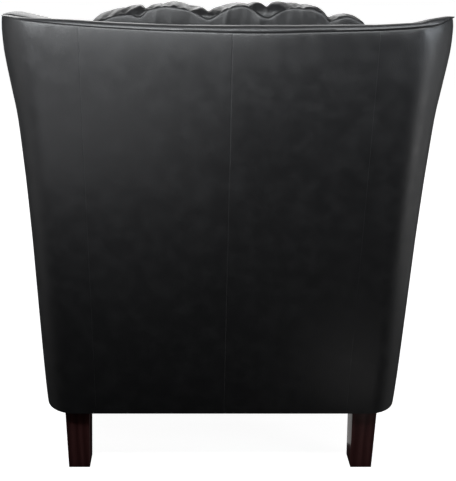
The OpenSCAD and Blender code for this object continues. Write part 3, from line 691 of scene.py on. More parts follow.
def shell_panel(name, s0, s1, seed, mirror, replaced):
    S = spread(s0, s1, 4.2)
    n_rows = 150
    t = spread(0.0, 740.0, 5.0) / 740.0
    Sg, Tg = np.meshgrid(S, t, indexing="ij")
    side = -1 if mirror else 1
    top = crest(Sg, side) - drop(Sg, side) - 0.2
    Z = BODY_Z + (top - BODY_Z) * Tg
    d_left, d_right = Sg - s0, s1 - Sg
    d_top, d_bot = top - Z, Z - BODY_Z
    d_side = np.minimum(d_left, d_right)
    d_edge = np.minimum(d_top, d_bot * 0.6 + 1.5)
    d_seam = d_side
    if s0 > 100:
        d_edge = np.minimum(d_edge, d_right)
        d_seam = d_left
    tight = 0.2 if mirror else 0.55
    inner_seam = d_left if s0 > 100 else d_right
    groove = 0.42 * np.exp(-((np.minimum(d_left, S_far(s0, d_right)) / 0.6) ** 1.4))
    groove = np.where(inner_seam <= np.maximum(0, Sg * 0 + 20), groove * tight, groove)
    corner = smooth01((Sg - 200) / 70.0) * smooth01((S2 + 60 - Sg) / 90.0)
    turn = 0.9 + (2.0 * corner if mirror else -0.2 * corner)
    depth = (2.0 if mirror else 0.8 + 0.8 * (1 - smooth01(Sg / 200.0)))
    out = 2.0 * (1 - np.exp(-d_edge / 26)) * (1 - 0.2 * np.exp(-d_seam / 34)) - groove - depth * np.exp(-((d_top / 1.6) ** 1.3)) - turn * np.exp(-d_top / 10.0)
    out += pucker(Z, d_side, seed, 0.08, 8.0) + pucker(Sg, d_top, seed + 11, 0.3, 11.0)
    out += 0.2 * fbm(Sg * side / 210.0, Z / 330.0, 41, 2)
    # soft drag lines below the rim near the corners
    out += 0.7 * vnoise((Sg * 0.9 + Z * 0.35) / 16.0, Z / 90.0, seed + 3) * np.exp(-d_top / 38.0) * smooth01((Sg - 210) / 120.0)
    A = skew(wall(Sg + lean_seam(Sg, Z), Z, -out), side)
    B = skew(wall(Sg + lean_seam(Sg, Z), Z, 5.0), side)
    # the bottom edge turns under
    under = [(-0.6, 1.2), (-1.6, 3.6), (-2.0, 6.6), (-1.2, 9.0), (1.5, 10.4), (7.0, 10.9), (12.5, 11.4), (14.9, 11.9)]
    rows = []
    for dz, inn in under[::-1]:
        rows.append(skew(wall(S, BODY_Z + dz, inn - out[:, 0] * 0.2), side))
    A = np.concatenate([np.stack(rows, 1), A[:, 1:]], 1)
    lining = [(15.1, 10.6), (12.5, 10.1), (7.0, 9.6), (2.2, 9.0), (0.8, 7.8), (0.6, 6.6), (1.0, 5.8), (2.0, 5.4)]
    rows = [skew(wall(S, BODY_Z + dz, inn), side) for dz, inn in lining]
    B = np.concatenate([np.stack(rows, 1), B[:, 1:]], 1)
    o = shell(name, A, B, mirror)
    dress(o, HIDE)
    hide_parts(*replaced)
    return o


for tag, mir in (("left", False), ("right", True)):
    seed = 100 if not mir else 200
    shell_panel("outside_back_" + tag, 0.06, SEAM_X - 0.06, seed, mir, ["outer_back_panel_" + tag])
    shell_panel("outside_side_" + tag, SEAM_X + 0.06, S3, seed + 40, mir, ["outer_side_cover_" + tag])


# ------------------------------------------------------------------ rim, wings and arms
def spline(points, n):
    """Points along a smooth curve through the given 2-D points, evenly by length."""
    p = np.array(points, float)
    q = np.concatenate([[2 * p[0] - p[1]], p, [2 * p[-1] - p[-2]]])
    out = []
    for i in range(len(p) - 1):
        a, b, c, d = q[i : i + 4]
        for t in np.linspace(0, 1, 12, endpoint=False):
            out.append(0.5 * (2 * b + (c - a) * t + (2 * a - 5 * b + 4 * c - d) * t * t + (3 * b - a - 3 * c + d) * t**3))
    out.append(p[-1])
    out = np.array(out)
    d = np.concatenate([[0], np.cumsum(np.linalg.norm(np.diff(out, axis=0), axis=1))])
    t = np.linspace(0, d[-1], n)
    return np.stack([np.interp(t, d, out[:, k]) for k in range(2)], -1)


def rim_profile(k, d):
    """(offset from the outside, height from the crest), k = 0 on the back and 1 at the wing, d = drop of the seam."""
    w = 78 + k
    e = max(4.5, 1.15 * d)
    pts = [(2.6, -d - 1.4), (0.5, -d - 0.5), (-0.9, -d + min(1.0, 0.6 * d) + 0.12 * d)]
    pts += [(e * (1 - math.cos(math.radians(q))) - 0.9, -d * (1 - math.sin(math.radians(q))) ** 1.15) for q in (38, 60)]
    pts += [(e, 0.0), (e + 8, -0.7), (e + 20, -3.4), (42, -7.6), (54, -12.4), (65, -19.0), (73, -27.5), (w, -38), (w + 0.4, -44)]
    return spline(pts, 46)


S_rim = np.concatenate([np.arange(0, S2 - 4, 4.0), [S2 - 3.5, S2 - 2.2, S2 - 1.2, S2 - 0.4]])
S_all = np.concatenate([-S_rim[:0:-1], S_rim])
A, B = [], []
for s in S_all:
    a = abs(s)
    sg = 1 if s >= 0 else -1
    k = float(smooth01((a - S1 + 30) / (S2 - S1)))
    blend_mid = 0.5 * (1 - min(1.0, a / 30.0))
    d_here = float(drop(a, sg) * (1 - blend_mid) + drop(a, -sg) * blend_mid)
    pr = rim_profile(k, d_here)
    edge = np.exp(-((S2 - 0.4 - a) / 1.3))
    u = np.arange(len(pr))
    gather = 0.16 * vnoise(s / 6.5, u / 9.0, 71) + 0.35 * vnoise(s / 46.0, u / 20.0, 72)
    off = pr[:, 0]
    zz = float(crest(a, sg)) + pr[:, 1]
    cen_o, cen_z = 40.0, -34.0
    vec = np.stack([pr[:, 0] - cen_o, pr[:, 1] - cen_z], -1)
    vec /= np.maximum(np.linalg.norm(vec, axis=1), 1e-6)[:, None]
    fade = smooth01(u / 7.0) * smooth01((len(pr) - 1 - u) / 6.0)
    push = gather * fade - 2.0 * edge
    o1 = off - vec[:, 0] * -1.0 * push
    z1 = zz + vec[:, 1] * push
    P = wall(np.full(len(pr), a), z1, o1)
    Q = wall(np.full(len(pr), a), zz - vec[:, 1] * 3, off - vec[:, 0] * 3)
    P[:, 0] *= sg
    Q[:, 0] *= sg
    A.append(P)
    B.append(Q)
rim = shell("rim_roll", A, B)
dress(rim, HIDE)
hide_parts("rim_cover", "rim_pad")


def arm_profile(y, side):
    k = min(1.0, float(wing(y)) / 0.8)
    zt = float(wing_top(y, side))
    er = float(edge_radius(y))
    xo = float(W(zt - er))
    xi = float(XI(zt - ARM_R))
    fall = lambda x: 0.2 * k * max(0.0, xo - x - 10)
    pts = [(xo - 2.6, zt - er - 1.4), (xo - 0.5, zt - er - 0.5), (xo + 0.8, zt - er + 1.0 + 0.1 * er)]
    pts += [(xo + 0.8 - er * (1 - math.cos(math.radians(q))), zt - er * (1 - math.sin(math.radians(q))) ** 1.15) for q in (38, 60)]
    pts += [(xo - er - 0.5, zt), (xo - er - 12, zt - fall(xo - er - 12)), (xi + ARM_R + 6, zt - 0.4 - fall(xi + ARM_R + 6))]
    for q in (18, 38, 58, 76):
        x = xi + ARM_R * (1 - math.sin(math.radians(q)))
        pts.append((x, zt - ARM_R * (1 - math.cos(math.radians(q))) - fall(x)))
    zr = zt - ARM_R - fall(xi)
    pts.append((float(XI(zr - 4)), zr - 4))
    top = spline(pts, 44)
    zs = np.linspace(zr - 4, 264.0, 66)[1:]
    side = np.stack([XI(zs), zs], -1)
    return np.concatenate([top, side])


arm_y = np.concatenate([[320.2, 319.4, 318.2, 316.0], np.arange(312, SIDE_FRONT + 3, -4.6), [SIDE_FRONT + 2.4, SIDE_FRONT + 1.2, SIDE_FRONT + 0.3]])
for tag, mir in (("left", False), ("right", True)):
    A, B = [], []
    seed = 300 if not mir else 340
    for y in arm_y:
        pr = arm_profile(y, -1 if mir else 1)
        u = np.arange(len(pr))
        nrm = np.gradient(pr, axis=0)
        nrm = np.stack([nrm[:, 1], -nrm[:, 0]], -1)
        nrm /= np.maximum(np.linalg.norm(nrm, axis=1), 1e-6)[:, None]
        # normals point out of the padding
        edge = 0.7 * np.exp(-(abs(y - 320.2) / 1.3)) + np.exp(-(abs(y - SIDE_FRONT) / 2.2))
        along = u * 3.0
        soft = 0.9 * fbm(y / 75.0, along / 75.0, seed, 2) * smooth01(u / 6.0) * smooth01((pr[:, 1] - 470) / 60.0)
        fine = pucker(along, abs(y - SIDE_FRONT), seed + 3, 0.5, 14.0)
        # short drag folds where the wing turns down into the arm
        bend = np.exp(-(((y - 10) / 70.0) ** 2)) * np.exp(-(((u - 30) / 16.0) ** 2))
        fold = 1.3 * vnoise(y / 15.0 + along / 60.0, along / 55.0, seed + 9) * bend
        puff = 1.2 * smooth01((pr[:, 1] - 480) / 60.0) * smooth01(u / 8.0)
        push = soft + fine * smooth01(u / 5.0) + fold + puff - 3.0 * edge * smooth01((u + 1) / 3.0)
        P = pr - nrm * push[:, None] * -1.0
        Q = pr - nrm * 4.0
        A.append(np.stack([P[:, 0], np.full(len(pr), y), P[:, 1]], -1))
        B.append(np.stack([Q[:, 0], np.full(len(pr), y), Q[:, 1]], -1))
    o = shell("arm_and_wing_" + tag, A, B, mir)
    dress(o, HIDE)
    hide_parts("arm_cover_" + tag, "arm_pad_" + tag, "wing_pad_" + tag)

# ------------------------------------------------------------------ buttoned inside back
CREST = curve([(-292, 858.0), (-262, 862.8), (-240, 877.1), (-228, 895.9), (-214, 903.4), (-196, 905.5), (-184, 904.7), (-173, 902.9), (-160, 912.9), (-145.5, 918.4), (-131.7, 921.8), (-118, 923.4), (-104, 925.1), (-83, 926.7), (-70, 925.1), (-63, 923.2), (-56, 925.5), (-45, 926.7), (-28, 925.3), (-8, 923.4), (5.6, 920.1), (19.4, 917.1), (26, 916.5), (33, 917.1), (47, 919.9), (60.6, 922.1), (74.3, 924.6), (90, 926.3), (113, 925.1), (124, 922.9), (130, 921.8), (137, 922.3), (143, 923.4), (156.7, 920.1), (170.5, 916.8), (184.2, 913.4), (197.9, 908.5), (211.7, 905.1), (225, 896.9), (240, 877.1), (262, 862.8), (292, 858.0)])
REAR = curve([(-292, 858.0), (-240, 865.0), (-226, 895.2), (-214, 901.7), (-198, 907.6), (-178, 903.8), (-168, 898.8), (-166, 901.8), (-153, 914.9), (-136, 920.8), (-109, 921.4), (-86, 915.1), (-69.5, 906.4), (-67, 905.8), (-52, 912.2), (-40, 920.2), (-23, 924.6), (-3, 921.8), (17, 910.4), (27, 904.6), (31, 903.6), (50, 912.0), (71, 920.0), (97.5, 924.6), (131, 918.6), (141, 908.2), (147, 906.8), (160, 911.2), (184, 909.2), (205, 902.2), (222, 893.2), (240, 865.0), (292, 858.0)])
VALLEYS = [135.0, 30.0, -67.0, -167.0]
TOP_BUTTONS = [151.5 + 1.5, 51.0, -51.0, -153.0]
buttons = []
for i in range(4):
    z = TUFT_TOP - i * TUFT_RISE
    ks = (-1.5, -0.5, 0.5, 1.5) if i % 2 == 0 else (-2, -1, 0, 1, 2)
    buttons += [(k * TUFT_PITCH, z) for k in ks]
Z_LAST = TUFT_TOP - 3 * TUFT_RISE


def tuft_depth(x, z):
    """0 on the pillows to 1 at a button, for a point of the inside back."""
    px, rz = TUFT_PITCH, TUFT_RISE
    u = x / px + 0.5
    v = (TUFT_TOP - z) / (2 * rz)
    p, q = u + v, u - v
    cp, cq = np.abs(np.sin(np.pi * p)), np.abs(np.sin(np.pi * q))
    skew = 0.06
    fold = lambda c: np.exp(-((c / 0.20) ** 0.9))
    along_p = 0.40 + 0.60 * np.abs(np.cos(np.pi * q)) ** 2.5
    along_q = 0.40 + 0.60 * np.abs(np.cos(np.pi * p)) ** 2.5
    diamond = np.maximum(fold(cp) * along_p, fold(cq) * along_q)
    diamond = diamond + 0.26 * (1 - np.sqrt(cp * cq))
    # pleats that run straight up from the top row and down from the last row
    up = np.zeros_like(x)
    k = np.clip((z - TUFT_TOP) / (905 - TUFT_TOP), 0, 1.3)
    for b, c in zip(TOP_BUTTONS, VALLEYS):
        line = b + (c - b) * smooth01(k)
        d = np.abs(x - line) / TUFT_PITCH
        up = np.maximum(up, np.exp(-((d / 0.062) ** 0.9)) * (0.52 + 0.48 * np.exp(-k * 5)) + 0.26 * (1 - np.clip(d * 2, 0, 1) ** 0.7))
    dn = np.zeros_like(x)
    kd = np.clip((Z_LAST - z) / 100, 0, 1.5)
    for b in (-2, -1, 0, 1, 2):
        d = np.abs(x - b * px) / px
        dn = np.maximum(dn, np.exp(-((d / 0.062) ** 0.9)) * (0.45 + 0.55 * np.exp(-kd * 4)) + 0.26 * (1 - np.clip(d * 2, 0, 1) ** 0.7))
    wu, wd = smooth01((z - TUFT_TOP + 12) / 24), smooth01((Z_LAST + 12 - z) / 24)
    depth = diamond * (1 - wu) * (1 - wd) + up * wu + dn * wd
    pit = np.zeros_like(x)
    for bx, bz in buttons:
        r = np.hypot(x - bx, (z - bz) / math.cos(LEAN_A))
        pit = np.maximum(pit, np.exp(-((r / 17.0) ** 2.2)))
    return np.maximum(depth, 0.55 * depth + pit * 1.02)


back_x = np.concatenate([np.linspace(-1, -0.992, 3), np.linspace(-0.985, 0.985, 171), np.linspace(0.992, 1, 3)])
n_front, n_top, n_rear = 108, 30, 14
TOP_STEPS = np.concatenate([np.linspace(0, 0.9, n_top - 4)[1:], [0.93, 0.955, 0.975, 0.99, 1.0]])
REAR_STEPS = np.array([0.6, 1.4, 2.6, 4.2, 6.5, 9.5, 13, 17, 21, 26, 31, 36, 41, 46]) / 46.0
REAR_FOLDS = [(0, 3.4, 2.2, 1), (-57, 7.5, 2.6, 1), (-127, 4.0, 2.2, 1), (-150, 3.6, 2.4, 1), (-26, 5, 1.2, -1), (-96, 7, 1.6, -1), (62, 9, 1.3, -1), (92, 6, 1.2, 1), (-186, 5, 1.8, 1), (118, 4, 1.4, 1)]
rows_P = []
for j, ux in enumerate(back_x):
    col = []
    half = lambda z: XI(z) - 1.8
    x_mid = ux * 291.0
    ct = float(CREST(x_mid))
    rs = float(REAR(x_mid))
    z_top = ct - 40.0
    zf = np.linspace(344.0, z_top, n_front)
    xf = ux * half(zf)
    dep = tuft_depth(xf, zf)
    side = (1 - np.abs(ux)) * half(zf)
    edge = np.exp(-((side / 16.0) ** 1.2))
    puff = 10.0
    yf = face_y(zf) - puff + 30.0 * np.clip(dep, 0, 1.15) + 22.0 * edge + 5.0 * np.exp(-(zf - 344) / 20.0)
    col += [(a, b, c) for a, b, c in zip(xf, yf, zf)]
    # over the crown
    y0, z0 = yf[-1], z_top
    x0 = xf[-1]
    xt = ux * half(min(ct, 900.0))
    yb = 323.0
    ph = TOP_STEPS
    k_pleat = 0.0
    for b in VALLEYS:
        k_pleat = max(k_pleat, math.exp(-((abs(x_mid - b) / 4.5) ** 1.1)))
    cy = y0 + 44.0
    for p_ in ph:
        a = math.radians(180 - 128 * p_)
        # superellipse from the front face over the crest, then a fall to the rear seam
        e = 0.8
        yy = cy + 44.0 * np.sign(math.cos(a)) * abs(math.cos(a)) ** e
        zz = z0 + 40.0 * abs(math.sin(a)) ** e
        if a < math.pi / 2:
            f = (math.pi / 2 - a) / math.radians(38)
            yy = cy + (yb - cy) * (f**0.85)
            zz = ct + (rs - ct) * (f**1.9)
        zz -= 4.5 * k_pleat * math.sin(math.pi * min(1, max(0, p_)) ** 0.8)
        yy += 3.0 * k_pleat * max(0, 1 - p_ * 1.6)
        near = math.exp(-(((1 - p_) * 60) / 2.6) ** 1.3)
        yy -= 2.2 * near
        zz -= 0.8 * near
        col.append((x0 + (xt - x0) * p_, yy, zz))
    # rear face behind the rim
    for f in REAR_STEPS:
        zz = rs - (rs - 852.0) * f
        dist = (rs - 852.0) * f
        seam = math.exp(-((dist / 1.6) ** 1.2))
        yy = yb + 0.8 * math.sin(math.pi * min(1, f * 1.4)) - 2.4 * seam
        for fx, fw, fa, sg_ in REAR_FOLDS:
            yy += sg_ * fa * math.exp(-(((xt - fx - 0.12 * dist * (1 if fx > -80 else -1)) / fw) ** 2)) * (1 - math.exp(-dist / 3.0))
        col.append((xt, yy, zz))
    rows_P.append(col)
P = np.array(rows_P)
NF = n_front
# wrinkles that radiate from the buttons, and soft ones on the crown and on its rear face
X, Y, Z = P[..., 0], P[..., 1], P[..., 2]
wr = np.zeros_like(X)
for i, (bx, bz) in enumerate(buttons):
    dx, dz = X - bx, (Z - bz)
    r = np.hypot(dx, dz)
    ang = np.arctan2(dz, dx)
    wr += np.exp(-((r - 26) / 15.0) ** 2) * vnoise(ang * 3.6 + i * 7.0, r / 60.0, 500 + i)
wr[:, NF:] = 0
Y -= 1.0 * wr
crown_idx = np.arange(P.shape[1])
on_crown = smooth01((crown_idx - NF + 6) / 8.0) * smooth01((NF + n_top - crown_idx) / 4.0)
Z += on_crown[None, :] * (0.7 * vnoise(X / 9.0, crown_idx[None, :] / 9.0 + 0 * X, 520) + 0.8 * vnoise(X / 21.0, crown_idx[None, :] / 12.0 + 0 * X, 521)) * (np.abs(X) < 236)
on_rear = smooth01((crown_idx - NF - n_top + 2) / 3.0)
Y += on_rear[None, :] * (0.7 * vnoise(X / 14.0, Z / 30.0, 530) + 0.3 * vnoise(X / 5.5, Z / 22.0, 531))
P = np.stack([X, Y, Z], -1)
Qb = P.copy()
Qb[:, :NF, 1] = np.minimum(P[:, :NF, 1] + 14, 300)
c_mid = np.array([0, 292.0, 850.0])
for j in range(NF, P.shape[1]):
    v = np.stack([0 * P[:, j, 0], 290.0 - P[:, j, 1], 846.0 - P[:, j, 2]], -1)
    v /= np.maximum(np.linalg.norm(v, axis=1), 1e-6)[:, None]
    Qb[:, j] = P[:, j] + v * 8
back = shell("inside_back", P, Qb, angle=180)
pins = np.zeros(len(back.data.vertices))
n_all, m_all = P.shape[:2]
grid_pin = np.zeros((n_all, m_all))
dd = np.zeros((n_all, NF))
for bx, bz in buttons:
    r = np.hypot(P[:, :NF, 0] - bx, P[:, :NF, 2] - bz)
    dd = np.maximum(dd, (r < 12).astype(float))
deep = tuft_depth(P[:, :NF, 0], P[:, :NF, 2])
grid_pin[:, :NF] = np.where(dd > 0, 1.0, np.where(deep > 0.62, 0.6, np.where(deep > 0.45, 0.1, 0.0)))
grid_pin[:2, :] = 1
grid_pin[-2:, :] = 1
grid_pin[:, :2] = 1
grid_pin[:, NF + n_top - 1 :] = 1
vall = np.array([[1.0 if min(abs(x * 291.0 - b) for b in VALLEYS) < 4.0 else 0.0 for x in back_x]]).T
grid_pin[:, NF : NF + n_top] = np.maximum(grid_pin[:, NF : NF + n_top], 0.6 * vall)
pins[: n_all * m_all] = grid_pin.ravel()
pins[n_all * m_all :] = 1
cloth_relax(back, pins, pressure=3.0, frames_n=16, slack=0.035, cap=7.0, bending=0.25)
dress(back, HIDE)
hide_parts("inside_back_cover", "back_foam")


def button(name, x, z):
    c, s = math.cos(LEAN_A), math.sin(LEAN_A)
    prof = [(0, 6.2), (3.5, 6.0), (6.5, 5.2), (8.8, 3.8), (10.3, 2.0), (10.9, 0.2), (10.6, -1.6), (8, -3.4), (0, -4.0)]
    verts, faces = [], []
    seg = 28
    for r, h in prof:
        for k in range(seg if r > 0 else 1):
            a = 2 * math.pi * k / seg
            rr = r * (1 + (0.012 * math.sin(9 * a + x) if 2 < r else 0))
            verts.append((rr * math.cos(a), rr * math.sin(a), h))
    ring0 = 1
    for k in range(seg):
        faces.append([0, 1 + k, 1 + (k + 1) % seg])
    for i in range(len(prof) - 3):
        a0, b0 = 1 + i * seg, 1 + (i + 1) * seg
        for k in range(seg):
            faces.append([a0 + k, b0 + k, b0 + (k + 1) % seg, a0 + (k + 1) % seg])
    last = len(verts) - 1
    a0 = 1 + (len(prof) - 3) * seg
    for k in range(seg):
        faces.append([a0 + k, last, a0 + (k + 1) % seg])
    base = np.array([x, float(face_y(z)) - 10.0 + 26.5, z])
    out = np.array([0, -c, s])
    up = np.array([0, s, c])
    V = np.array(verts)
    pts = base + V[:, :1] * np.array([1, 0, 0]) + V[:, 1:2] * up + V[:, 2:3] * out
    return pts, faces


bv, bf = [], []
for x, z in buttons:
    pts, faces = button("b", x, z)
    o0 = sum(len(v) for v in bv)
    bv.append(pts)
    bf += [[f + o0 for f in face] for face in faces]
btn = fix_normals(make("tuft_button_caps", np.concatenate(bv), bf, angle=180))
dress(btn, HIDE_WELT)
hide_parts("tuft_buttons")

# ------------------------------------------------------------------ arm fronts
WELT_R = 3.4


def front_outline(o):
    """Outline of the arm's front, from the inner bottom over the top to the outer bottom."""
    y = SIDE_FRONT
    zt = float(wing_z(y))
    zr = zt - ARM_R
    xi = float(XI(zr))
    xo = float(W(zt - 12))
    pts = [(264 + o, BODY_Z - 0.6)]
    pts += [(float(XI(z)) + o, z) for z in np.linspace(220, zr, 12)]
    pts += [(xi + ARM_R - (ARM_R - o) * math.cos(math.radians(a)), zr + (ARM_R - o) * math.sin(math.radians(a))) for a in range(10, 91, 10)]
    pts += [(xo - 12 + (12 - o) * math.sin(math.radians(a)), zt - 12 + (12 - o) * math.cos(math.radians(a))) for a in range(0, 91, 15)]
    pts += [(float(W(z)) - o, z) for z in np.linspace(560, BODY_Z - 0.6, 14)]
    return np.array(pts)


for tag, mir in (("left", False), ("right", True)):
    sg = -1 if mir else 1
    ol = front_outline(WELT_R + 0.4)
    zt = ol[:, 1].max()
    top_i = int(np.argmax(ol[:, 1]))
    inner_side, outer_side = ol[: top_i + 1], ol[top_i:][::-1]
    zs = np.concatenate([np.linspace(BODY_Z + 0.2, zt - 36, 70), zt - 36 * (1 - np.linspace(0, 1, 30)[1:]) ** 1.6 - 0.05])
    zi = np.interp(zs, inner_side[:, 1], inner_side[:, 0])
    zo = np.interp(zs, outer_side[:, 1], outer_side[:, 0])
    us = np.concatenate([[0, 0.012, 0.03], np.linspace(0.06, 0.94, 26), [0.97, 0.988, 1]])
    A, B = [], []
    seg_a, seg_b = ol[:-1], ol[1:]
    for u in us:
        x = zi + (zo - zi) * u
        pt = np.stack([x, zs], -1)
        ab = seg_b - seg_a
        t = np.clip(((pt[:, None] - seg_a[None]) * ab[None]).sum(-1) / (ab**2).sum(-1)[None], 0, 1)
        dist = np.linalg.norm(pt[:, None] - (seg_a[None] + t[..., None] * ab[None]), axis=-1).min(1)
        dist = np.minimum(np.maximum(dist - 2.4, 0), np.maximum(zs - BODY_Z, 0))
        dome = 7.0 * (1 - np.exp(-dist / 13.0)) - 0.9 * np.exp(-dist / 1.5)
        dome += 0.45 * vnoise(zs / 9.0, x / 30.0, 600) * np.exp(-dist / 9.0) + 0.5 * fbm(x / 60.0, zs / 110.0, 604, 2)
        A.append(np.stack([x * sg, SIDE_FRONT - 1.4 - dome, zs], -1))
        B.append(np.stack([x * sg, np.full(len(zs), SIDE_FRONT - 0.5), zs], -1))
    o = shell("arm_front_" + tag, A, B, angle=70)
    dress(o, HIDE)
    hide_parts("arm_front_panel_" + tag)
    wl = resample(np.stack([front_outline(WELT_R)[:, 0] * sg, np.full(len(ol), SIDE_FRONT - WELT_R - 0.3), front_outline(WELT_R)[:, 1]], -1), 4.0)
    t_ = tube("arm_front_welt_" + tag, wl, WELT_R, 14, wobble=0.05, seed=610)
    dress(t_, HIDE_WELT)
    if not mir:
        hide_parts("arm_front_welts")
    fold = spline([(-386.0, 145.6), (-385.2, 143.6), (-382.5, 142.6), (-377.5, 142.8), (-373.2, 144.6), (-371.2, 149), (-370.6, 154), (-370.3, 158.4)], 26)
    nrm = np.gradient(fold, axis=0)
    nrm = np.stack([-nrm[:, 1], nrm[:, 0]], -1)
    nrm /= np.linalg.norm(nrm, axis=1)[:, None]
    A, B = [], []
    for x in spread(262.0, 340.0, 4.0):
        wave = 0.25 * vnoise(x / 7.0, 0.0, 618) * np.sin(np.linspace(0, np.pi, len(fold)))
        pp = fold + nrm * wave[:, None]
        A.append(np.stack([np.full(len(fold), x * sg), pp[:, 0], pp[:, 1]], -1))
        B.append(np.stack([np.full(len(fold), x * sg), (pp + nrm * 1.2)[:, 0], (pp + nrm * 1.2)[:, 1]], -1))
    o = shell("arm_front_fold_" + tag, A, B, mir, angle=80)
    dress(o, HIDE)

# ------------------------------------------------------------------ front border and deck
prof = spline([(-370.3, 158.4), (-370.6, 153), (-371.6, 148), (-375, 144.6), (-382, 142.8), (-386.8, 146.2), (-388.2, 154), (-390.5, 190), (-391.5, 230), (-390.4, 275), (-388.6, 300), (-386, 312), (-381, 320), (-372, 324.6), (-360, 326.2), (-345, 326.4), (-337, 325.6)], 90)
xs = spread(-265.4, 265.4, 5.0)
A, B = [], []
for x in xs:
    d = max(0.0, 263.6 - abs(x))
    pull = 1 - np.exp(-d / 16.0)
    u = np.arange(len(prof))
    nrm = np.gradient(prof, axis=0)
    nrm = np.stack([-nrm[:, 1], nrm[:, 0]], -1)
    nrm /= np.linalg.norm(nrm, axis=1)[:, None]
    body = smooth01((prof[:, 1] - 152) / 12) * smooth01((318 - prof[:, 1]) / 30) * smooth01((-378 - prof[:, 0]) / 6)
    push = -2.6 * (1 - pull) * body + 0.6 * fbm(x / 80.0, u / 26.0, 620, 2) * body + 0.5 * vnoise(x / 14.0, u / 30.0, 624) * np.exp(-(318 - prof[:, 1]) / 24.0).clip(0, 1)
    pp = prof + nrm * push[:, None]
    qq = prof - nrm * (1.2 + 2.8 * smooth01(u / 20.0))[:, None]
    A.append(np.stack([np.full(len(prof), x), pp[:, 0], pp[:, 1]], -1))
    B.append(np.stack([np.full(len(prof), x), qq[:, 0], qq[:, 1]], -1))
border = shell("front_border", A, B, angle=80)
dress(border, HIDE)
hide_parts("front_border_cover", "front_edge_foam")

xs = np.linspace(-261, 261, 60)
ys = np.linspace(-334, 287, 66)
Xd, Yd = np.meshgrid(xs, ys, indexing="ij")
fade = smooth01((261 - np.abs(Xd)) / 40) * smooth01((Yd + 334) / 40) * smooth01((287 - Yd) / 40)
Zd = DECK_Z - 0.9 - fade * (1.2 + 0.9 * np.cos(Xd / 95 * np.pi * 1.0) ** 2) + 0.5 * fade * fbm(Xd / 60, Yd / 60, 640, 2)
deck = shell("seat_deck", np.stack([Xd, Yd, Zd], -1), np.stack([Xd, Yd, np.full_like(Zd, DECK_Z - 25.2)], -1), angle=50)
dress(deck, DECK)
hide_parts("deck_cloth", "deck_pad")

# ------------------------------------------------------------------ loose cushion
CZ0 = DECK_Z + 1.6
CZ1 = CZ0 + CUSHION_T
CX, CY0, CY1, CR = SEAT_W / 2 - 2.5, -HALF_D, 145.0, 24.0


def ring(o, n=None):
    """Plan of the cushion inset by o, anticlockwise, evenly spaced."""
    pts = []
    q = CR - o
    for sx, sy, a0 in ((1, 1, 0), (-1, 1, 90), (-1, -1, 180), (1, -1, 270)):
        cxx, cyy = sx * (CX - CR), (CY1 - CR if sy > 0 else CY0 + CR)
        for a in np.linspace(0, 90, 13):
            t = math.radians(a + a0)
            pts.append((cxx + q * math.cos(t), cyy + q * math.sin(t), 0))
    pts = np.array(pts)
    return resample(pts, 6.0, closed=True) if n is None else resample(pts, 1e9, closed=True)


def ring_n(o, n):
    pts = []
    q = CR - o
    for sx, sy, a0 in ((1, 1, 0), (-1, 1, 90), (-1, -1, 180), (1, -1, 270)):
        cxx, cyy = sx * (CX - CR), (CY1 - CR if sy > 0 else CY0 + CR)
        for a in np.linspace(0, 90, 13):
            t = math.radians(a + a0)
            pts.append((cxx + q * math.cos(t), cyy + q * math.sin(t)))
    pts = np.array(pts + pts[:1])
    d = np.concatenate([[0], np.cumsum(np.linalg.norm(np.diff(pts, axis=0), axis=1))])
    t = np.linspace(0, d[-1], n, endpoint=False)
    return np.stack([np.interp(t, d, pts[:, k]) for k in range(2)], -1)


def seam_ring(n, o):
    """The seam's plan: the sides pull in a little between the corners."""
    p = ring_n(o, n)
    mid_y = (CY0 + CY1) / 2
    fx = 1 - (np.abs(p[:, 0]) / CX) ** 2
    fy = 1 - (np.abs(p[:, 1] - mid_y) / ((CY1 - CY0) / 2)) ** 2
    on_x = smooth01((np.abs(p[:, 0]) / CX - 0.86) / 0.12)
    on_y = smooth01((np.abs(p[:, 1] - mid_y) / ((CY1 - CY0) / 2) - 0.86) / 0.12)
    p = p.copy()
    p[:, 0] -= np.sign(p[:, 0]) * 1.5 * fy * on_x
    p[:, 1] -= np.sign(p[:, 1] - mid_y) * 2.5 * fx * on_y
    return p


NR = 348
seam_o = 6.2
edge_ring = seam_ring(NR, seam_o)
centre = np.array([0.0, (CY0 + CY1) / 2])
verts, faces, pinned = [], [], []


def panel_rings(z_edge, sign):
    """Rings from the seam to the middle of a crowned panel."""
    out = []
    fr = np.concatenate([[1.0, 0.992, 0.98], np.linspace(0.96, 0.06, 44)])
    for f in fr:
        # towards a smaller superellipse so that quads stay even
        p = centre + (edge_ring - centre) * f
        ax = np.abs(p[:, 0]) / (CX - seam_o)
        ay = np.abs(p[:, 1] - centre[1]) / ((CY1 - CY0) / 2 - seam_o)
        h = (1 - np.clip(ax, 0, 1) ** 2.6) * (1 - np.clip(ay, 0, 1) ** 2.6)
        z = z_edge + sign * 15.0 * np.clip(h, 0, 1) ** 0.55
        out.append(np.stack([p[:, 0], p[:, 1], z], -1))
    return out


